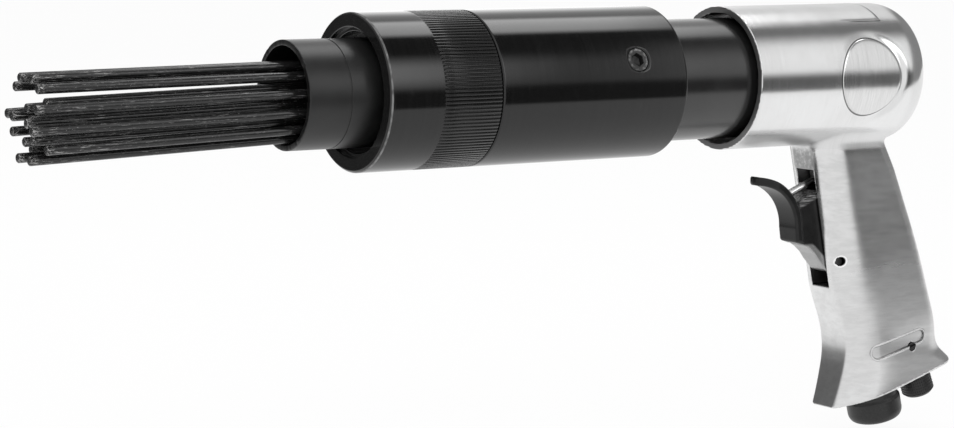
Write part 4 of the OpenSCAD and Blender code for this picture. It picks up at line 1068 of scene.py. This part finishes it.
def polygon_distance(x, z, corners):
    """Signed distance to a polygon, below 0 inside it"""
    best = np.full(np.shape(x), 1e9)
    inside = np.zeros(np.shape(x), bool)
    for (x0, z0), (x1, z1) in zip(corners, corners[1:] + corners[:1]):
        best = np.minimum(best, far_from_segment(x, z, (x0, z0), (x1, z1)))
        crosses = (z0 > z) != (z1 > z)
        with np.errstate(divide="ignore", invalid="ignore"):
            at = x0 + (z - z0) * (x1 - x0) / (z1 - z0 if z1 != z0 else 1e-9)
        inside ^= crosses & (x < at)
    return np.where(inside, -best, best)


def under_stem(s):
    """A point under the throttle stem, s along it"""
    cos, sin = ray(22)
    return (THROTTLE[0][0] + s * cos + 2.7 * sin, THROTTLE[0][2] + s * sin - 2.7 * cos)


def web_corners():
    """Outline of the trigger's web, from the stem to its pin and back to the finger plate"""
    px, pz = PIN
    foot = (FINGER[0] + 18.8, FINGER[1])
    end = under_stem(7.4)
    above, below = ray(35), ray(45)
    return [under_stem(-3.6), under_stem(6.5), (end[0], end[1] - 2),
            (px + EYE_R * above[0], pz + EYE_R * above[1]), (px - EYE_R * below[0], pz - EYE_R * below[1]),
            (px - 6.2, pz + 0.2), (px - 8.2, pz + 2.8), (px - 10.6, pz + 4.9),
            (foot[0] + 1.2, foot[1] - 5.9), (foot[0] - 2, foot[1] - 4.9)]


WEB = web_corners()
TIP_X = FINGER[0] + (PLATE_R - 1.5) * ray(PLATE_TOP)[0] - 1.3


def trigger_distance(x, y, z):
    """The trigger: a curved finger plate, a web and a pin hole"""
    fx, fz = FINGER
    angle = np.clip(np.arctan2(z - fz, x - fx), 0, math.radians(PLATE_TOP))
    arc = np.hypot(x - fx - PLATE_R * np.cos(angle), z - fz - PLATE_R * np.sin(angle))
    end = (fx + PLATE_R * ray(PLATE_TOP)[0], fz + PLATE_R * ray(PLATE_TOP)[1])
    hook = far_from_segment(x, z, end, (end[0] - 0.75, end[1] + 0.2))
    foot = far_from_segment(x, z, (fx + PLATE_R, fz), (fx + 18.2, fz - 6.5))
    plate = np.minimum(np.minimum(arc, foot), hook) - 1.5
    under = (x - 100.3) * -0.316 - (z + 58.5) * 0.949
    plate = round_max(plate, under, 0.4)
    behind = x - TIP_X
    width = np.interp(behind, [0, 0.3, 1, 2, 3.4, 6, 8, 9.5, 30], [0.3, 1.4, 2.5, 3.2, 3.7, 4.6, 5.1, 5.2, 5.2])
    plate = round_max(plate, np.abs(y) - width, 1.0)
    web = np.minimum(polygon_distance(x, z, WEB), np.hypot(x - PIN[0], z - PIN[1]) - EYE_R)
    web = round_max(web, np.abs(y) - 4.3, 0.5)
    form = round_min(plate, web, 0.7)
    return round_max(form, 1.54 - np.hypot(x - PIN[0], z - PIN[1]), 0.2)


def make_trigger(finishes):
    """The trigger, the two pins' ends and the throttle stem"""
    xs = spaced(82.4, (122.8, 0.33))
    ys = spaced(-5.9, (5.9, 0.31))
    zs = spaced(-71.4, (-34.2, 0.33))
    dress(shell("trigger_lever", trigger_distance, xs, ys, zs, finishes["black_paint"], 60),
          "trigger", "black_paint", "trigger")
    for name, node, (x, z), half in (("trigger_pin_rod", "trigger_pin", PIN, 8.4),
                                     ("regulator_pin_rod", "regulator_pin", RETAINER, 10.5)):
        profile = rounded([(-half, 0), (-half, 1.46, 0.35), (half, 1.46, 0.35), (half, 0)], 0.3, 3)
        rod = turned_piece(name, profile, finishes["pin_steel"], ((x, 0, z), (0, 1, 0), (1, 0, 0)), 40)
        dress(rod, "tool", "hard_steel", node)
    stem = rounded([(-4.0, 0), (-3.8, 0.7, 0.2), (-3.3, 1.22, 0.2), (-2.5, 1.4, 0.3),
                    (21.24, 1.4, 0.1), (21.24, 0)], 0.1, 3)
    dress(turned_piece("throttle_stem_rod", stem, finishes["bright_steel"], THROTTLE, 48),
          "throttle", "bright_steel", "throttle_stem")


# ---------------- fittings at the base

def make_fittings(finishes):
    """The air inlet and the regulator knob with its ribs"""
    black = finishes["fitting_black"]
    profile = rounded([
        (-11.7, 5.7, 0.2), (-12.5, 6.5, 0.2), (-12.5, 7.3, 0.6), (-11.7, 9.1, 1.2), (-9.9, 9.9, 1.2), (-4.4, 9.9, 0.3),
        (-3.5, 9.2, 0.25), (0.0, 9.2, 0.1), (0.0, 7.9), (15.0, 7.9), (15.0, 4.3), (5.5, 4.3), (5.5, 5.7)], 0.2, 4)
    dress(turned_piece("inlet_bushing_body", profile, black, INLET, 160), "tool", "black_paint", "inlet_bushing")
    profile = rounded([
        (-10.3, 0), (-10.3, 4.8, 1.0), (-9.1, 5.75, 0.8), (-3.2, 5.75, 0.3), (-2.6, 5.4, 0.1), (3.8, 5.4), (3.8, 3.8),
        (6.2, 3.8), (6.2, 5.4), (11.14, 5.4), (11.14, 3.64), (14.26, 3.64), (14.26, 5.4), (24.0, 5.4), (24.0, 2.3),
        (16.1, 2.3), (16.1, 0)], 0.12, 3)
    dress(turned_piece("regulator_knob_body", profile, black, REGULATOR, 96),
          "regulator", "black_paint", "regulator_knob")
    rows = np.linspace(-8.9, -3.4, 6)
    points, faces = [], []
    for z in rows:
        base = len(points)
        points += [(r, v * half, z + w * rise) for r, half, rise in ((5.55, 0.28, 0.45), (5.98, 0.05, 0.12))
                   for v, w in ((-1, -1), (1, -1), (1, 1), (-1, 1))]
        faces += [tuple(base + k for k in f) for f in
                  ((0, 3, 2, 1), (4, 5, 6, 7), (0, 1, 5, 4), (1, 2, 6, 5), (2, 3, 7, 6), (3, 0, 4, 7))]
    dress(ring_of("knob_knurl", points, faces, 44, black, REGULATOR), "regulator", "black_paint")


# ---------------- carried-over nodes

NODE_FINISH = {
    "needle_holder": "hard_steel", "anvil": "hard_steel", "return_spring": "spring_steel",
    "anvil_bumper": "rubber_black", "barrel_o_ring": "rubber_black", "regulator_o_ring": "rubber_black",
    "piston": "hard_steel", "valve_case": "hard_steel", "valve_disc": "bright_steel", "valve_cap": "hard_steel",
    "valve_dowel": "bright_steel", "throttle_bushing": "hard_steel", "throttle_seat": "white_plastic",
    "throttle_ball": "bright_steel", "throttle_spring": "spring_steel", "inlet_screen": "brass_mesh",
}


def paint_nodes(finishes):
    """Gives each node carried over from the CAD its finish"""
    for name, slot in NODE_FINISH.items():
        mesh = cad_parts[name].data
        mesh.materials.clear()
        mesh.materials.append(finishes[slot])


# ---------------- studio

def make_studio():
    """A white sweep, soft panels all round for reflections only, and two lamps"""
    world = bpy.data.worlds.new("studio")
    bpy.context.scene.world = world
    world.use_nodes = True
    n = Nodes(world.node_tree)
    towards = n.add("TexCoord", out=0)
    x, y, z = (n.add("SeparateXYZ", None, {0: towards}, k) for k in range(3))
    height = z.math("ARCTAN2", y * -1) * (180 / math.pi)

    def blend(share, first, second):
        return n.add("Mix", {"data_type": "FLOAT"}, {0: share, 2: first, 3: second})

    right, above_right = x.between(0.585, 0.606), x.between(0.575, 0.625)
    left = 1 - x.between(0.50, 0.57)

    # soft panels: where across the picture, edges as angles round the barrel's axis (0 in front, 90 above), strength
    panels = (
        (right, (-2, 13, 48, 77), 0.9), (1 - right, (1, 11, 34, 56), 0.36), (left, (-3, 26, 32, 60), 2.5),
        (right, (-23, -21, 96, 101), 0.055), (right, (48, 75, 92, 101), 0.08),
        (above_right, (94, 107, 190, 191), 0.7), (1 - above_right, (84, 95, 117, 126), 3.4),
        (1 - above_right, (117, 126, 190, 191), 0.8), (1 - above_right, (135, 158, 190, 191), 0.8))
    front = (1 - height.between(-24.0, -20.0)) * (0.86 + right * 0.14) + 0.055
    for across, up, level in panels:
        front = front + across * height.band(*up) * level
    front = blend(x.between(0.66, 0.76), front, (1 - height.between(-23.5, -15)) * 0.72 + 0.26)
    front = blend(x.between(0.89, 0.975) * height.between(-12, 6), front, 0.26)
    ahead = (y * -1).between(-0.1, 0.25)
    forward = blend(ahead, (1 - z.between(-0.20, -0.12)) * 0.9 + 0.13 + z.between(0.5, 0.8) * 0.5, 0.95)
    glossy = blend(x.between(0.38, 0.46), forward, front)
    path = n.add("LightPath", out=0)
    strength = blend(path, glossy, 1.0)
    background = n.add("Background", None, {"Color": (1, 1, 1, 1), "Strength": strength})
    n.add("OutputWorld", None, {"Surface": background})

    floor_material, n = new_material("pale_floor")
    seen = n.add("LightPath", out=0)
    paper = n.add("BsdfPrincipled", None, {
        "Base Color": n.mix(n.noise(0.02), (0.9, 0.9, 0.9, 1), (0.93, 0.93, 0.93, 1)), "Roughness": 0.9})
    glow = n.add("Emission", None, {"Color": (1, 1, 1, 1), "Strength": 1.0})
    both = n.add("MixShader", None, {0: seen * 0.93, 1: paper, 2: glow})
    n.add("OutputMaterial", None, {"Surface": both})
    size, level = 6000.0, -131.0
    corners = [(-size, -size, level), (size, -size, level), (size, size, level), (-size, size, level)]
    floor = add_mesh("floor", corners, [(0, 1, 2, 3)], floor_material)
    floor.visible_glossy = False

    def lamp(name, where, size, power):
        data = bpy.data.lights.new(name, "AREA")
        data.shape = "RECTANGLE"
        data.size, data.size_y = size
        data.energy = power
        made = linked(name, data)
        made.location = where
        made.rotation_euler = (Vector((0.03, 0, -0.03)) - Vector(where)).to_track_quat("-Z", "Y").to_euler()
        made.visible_glossy = False
    lamp("front_left_softbox", (-0.7, -1.1, 0.9), (1.0, 0.7), 7)
    lamp("overhead_softbox", (0.1, 0.5, 1.3), (1.4, 0.8), 6)


# ---------------- everything

set_camera()
FINISHES = make_finishes()
paint_nodes(FINISHES)
make_housing(FINISHES)
make_casing(FINISHES)
make_sleeve(FINISHES)
make_nose(FINISHES)
make_barrel(FINISHES)
make_needles(FINISHES)
make_trigger(FINISHES)
make_fittings(FINISHES)
make_studio()
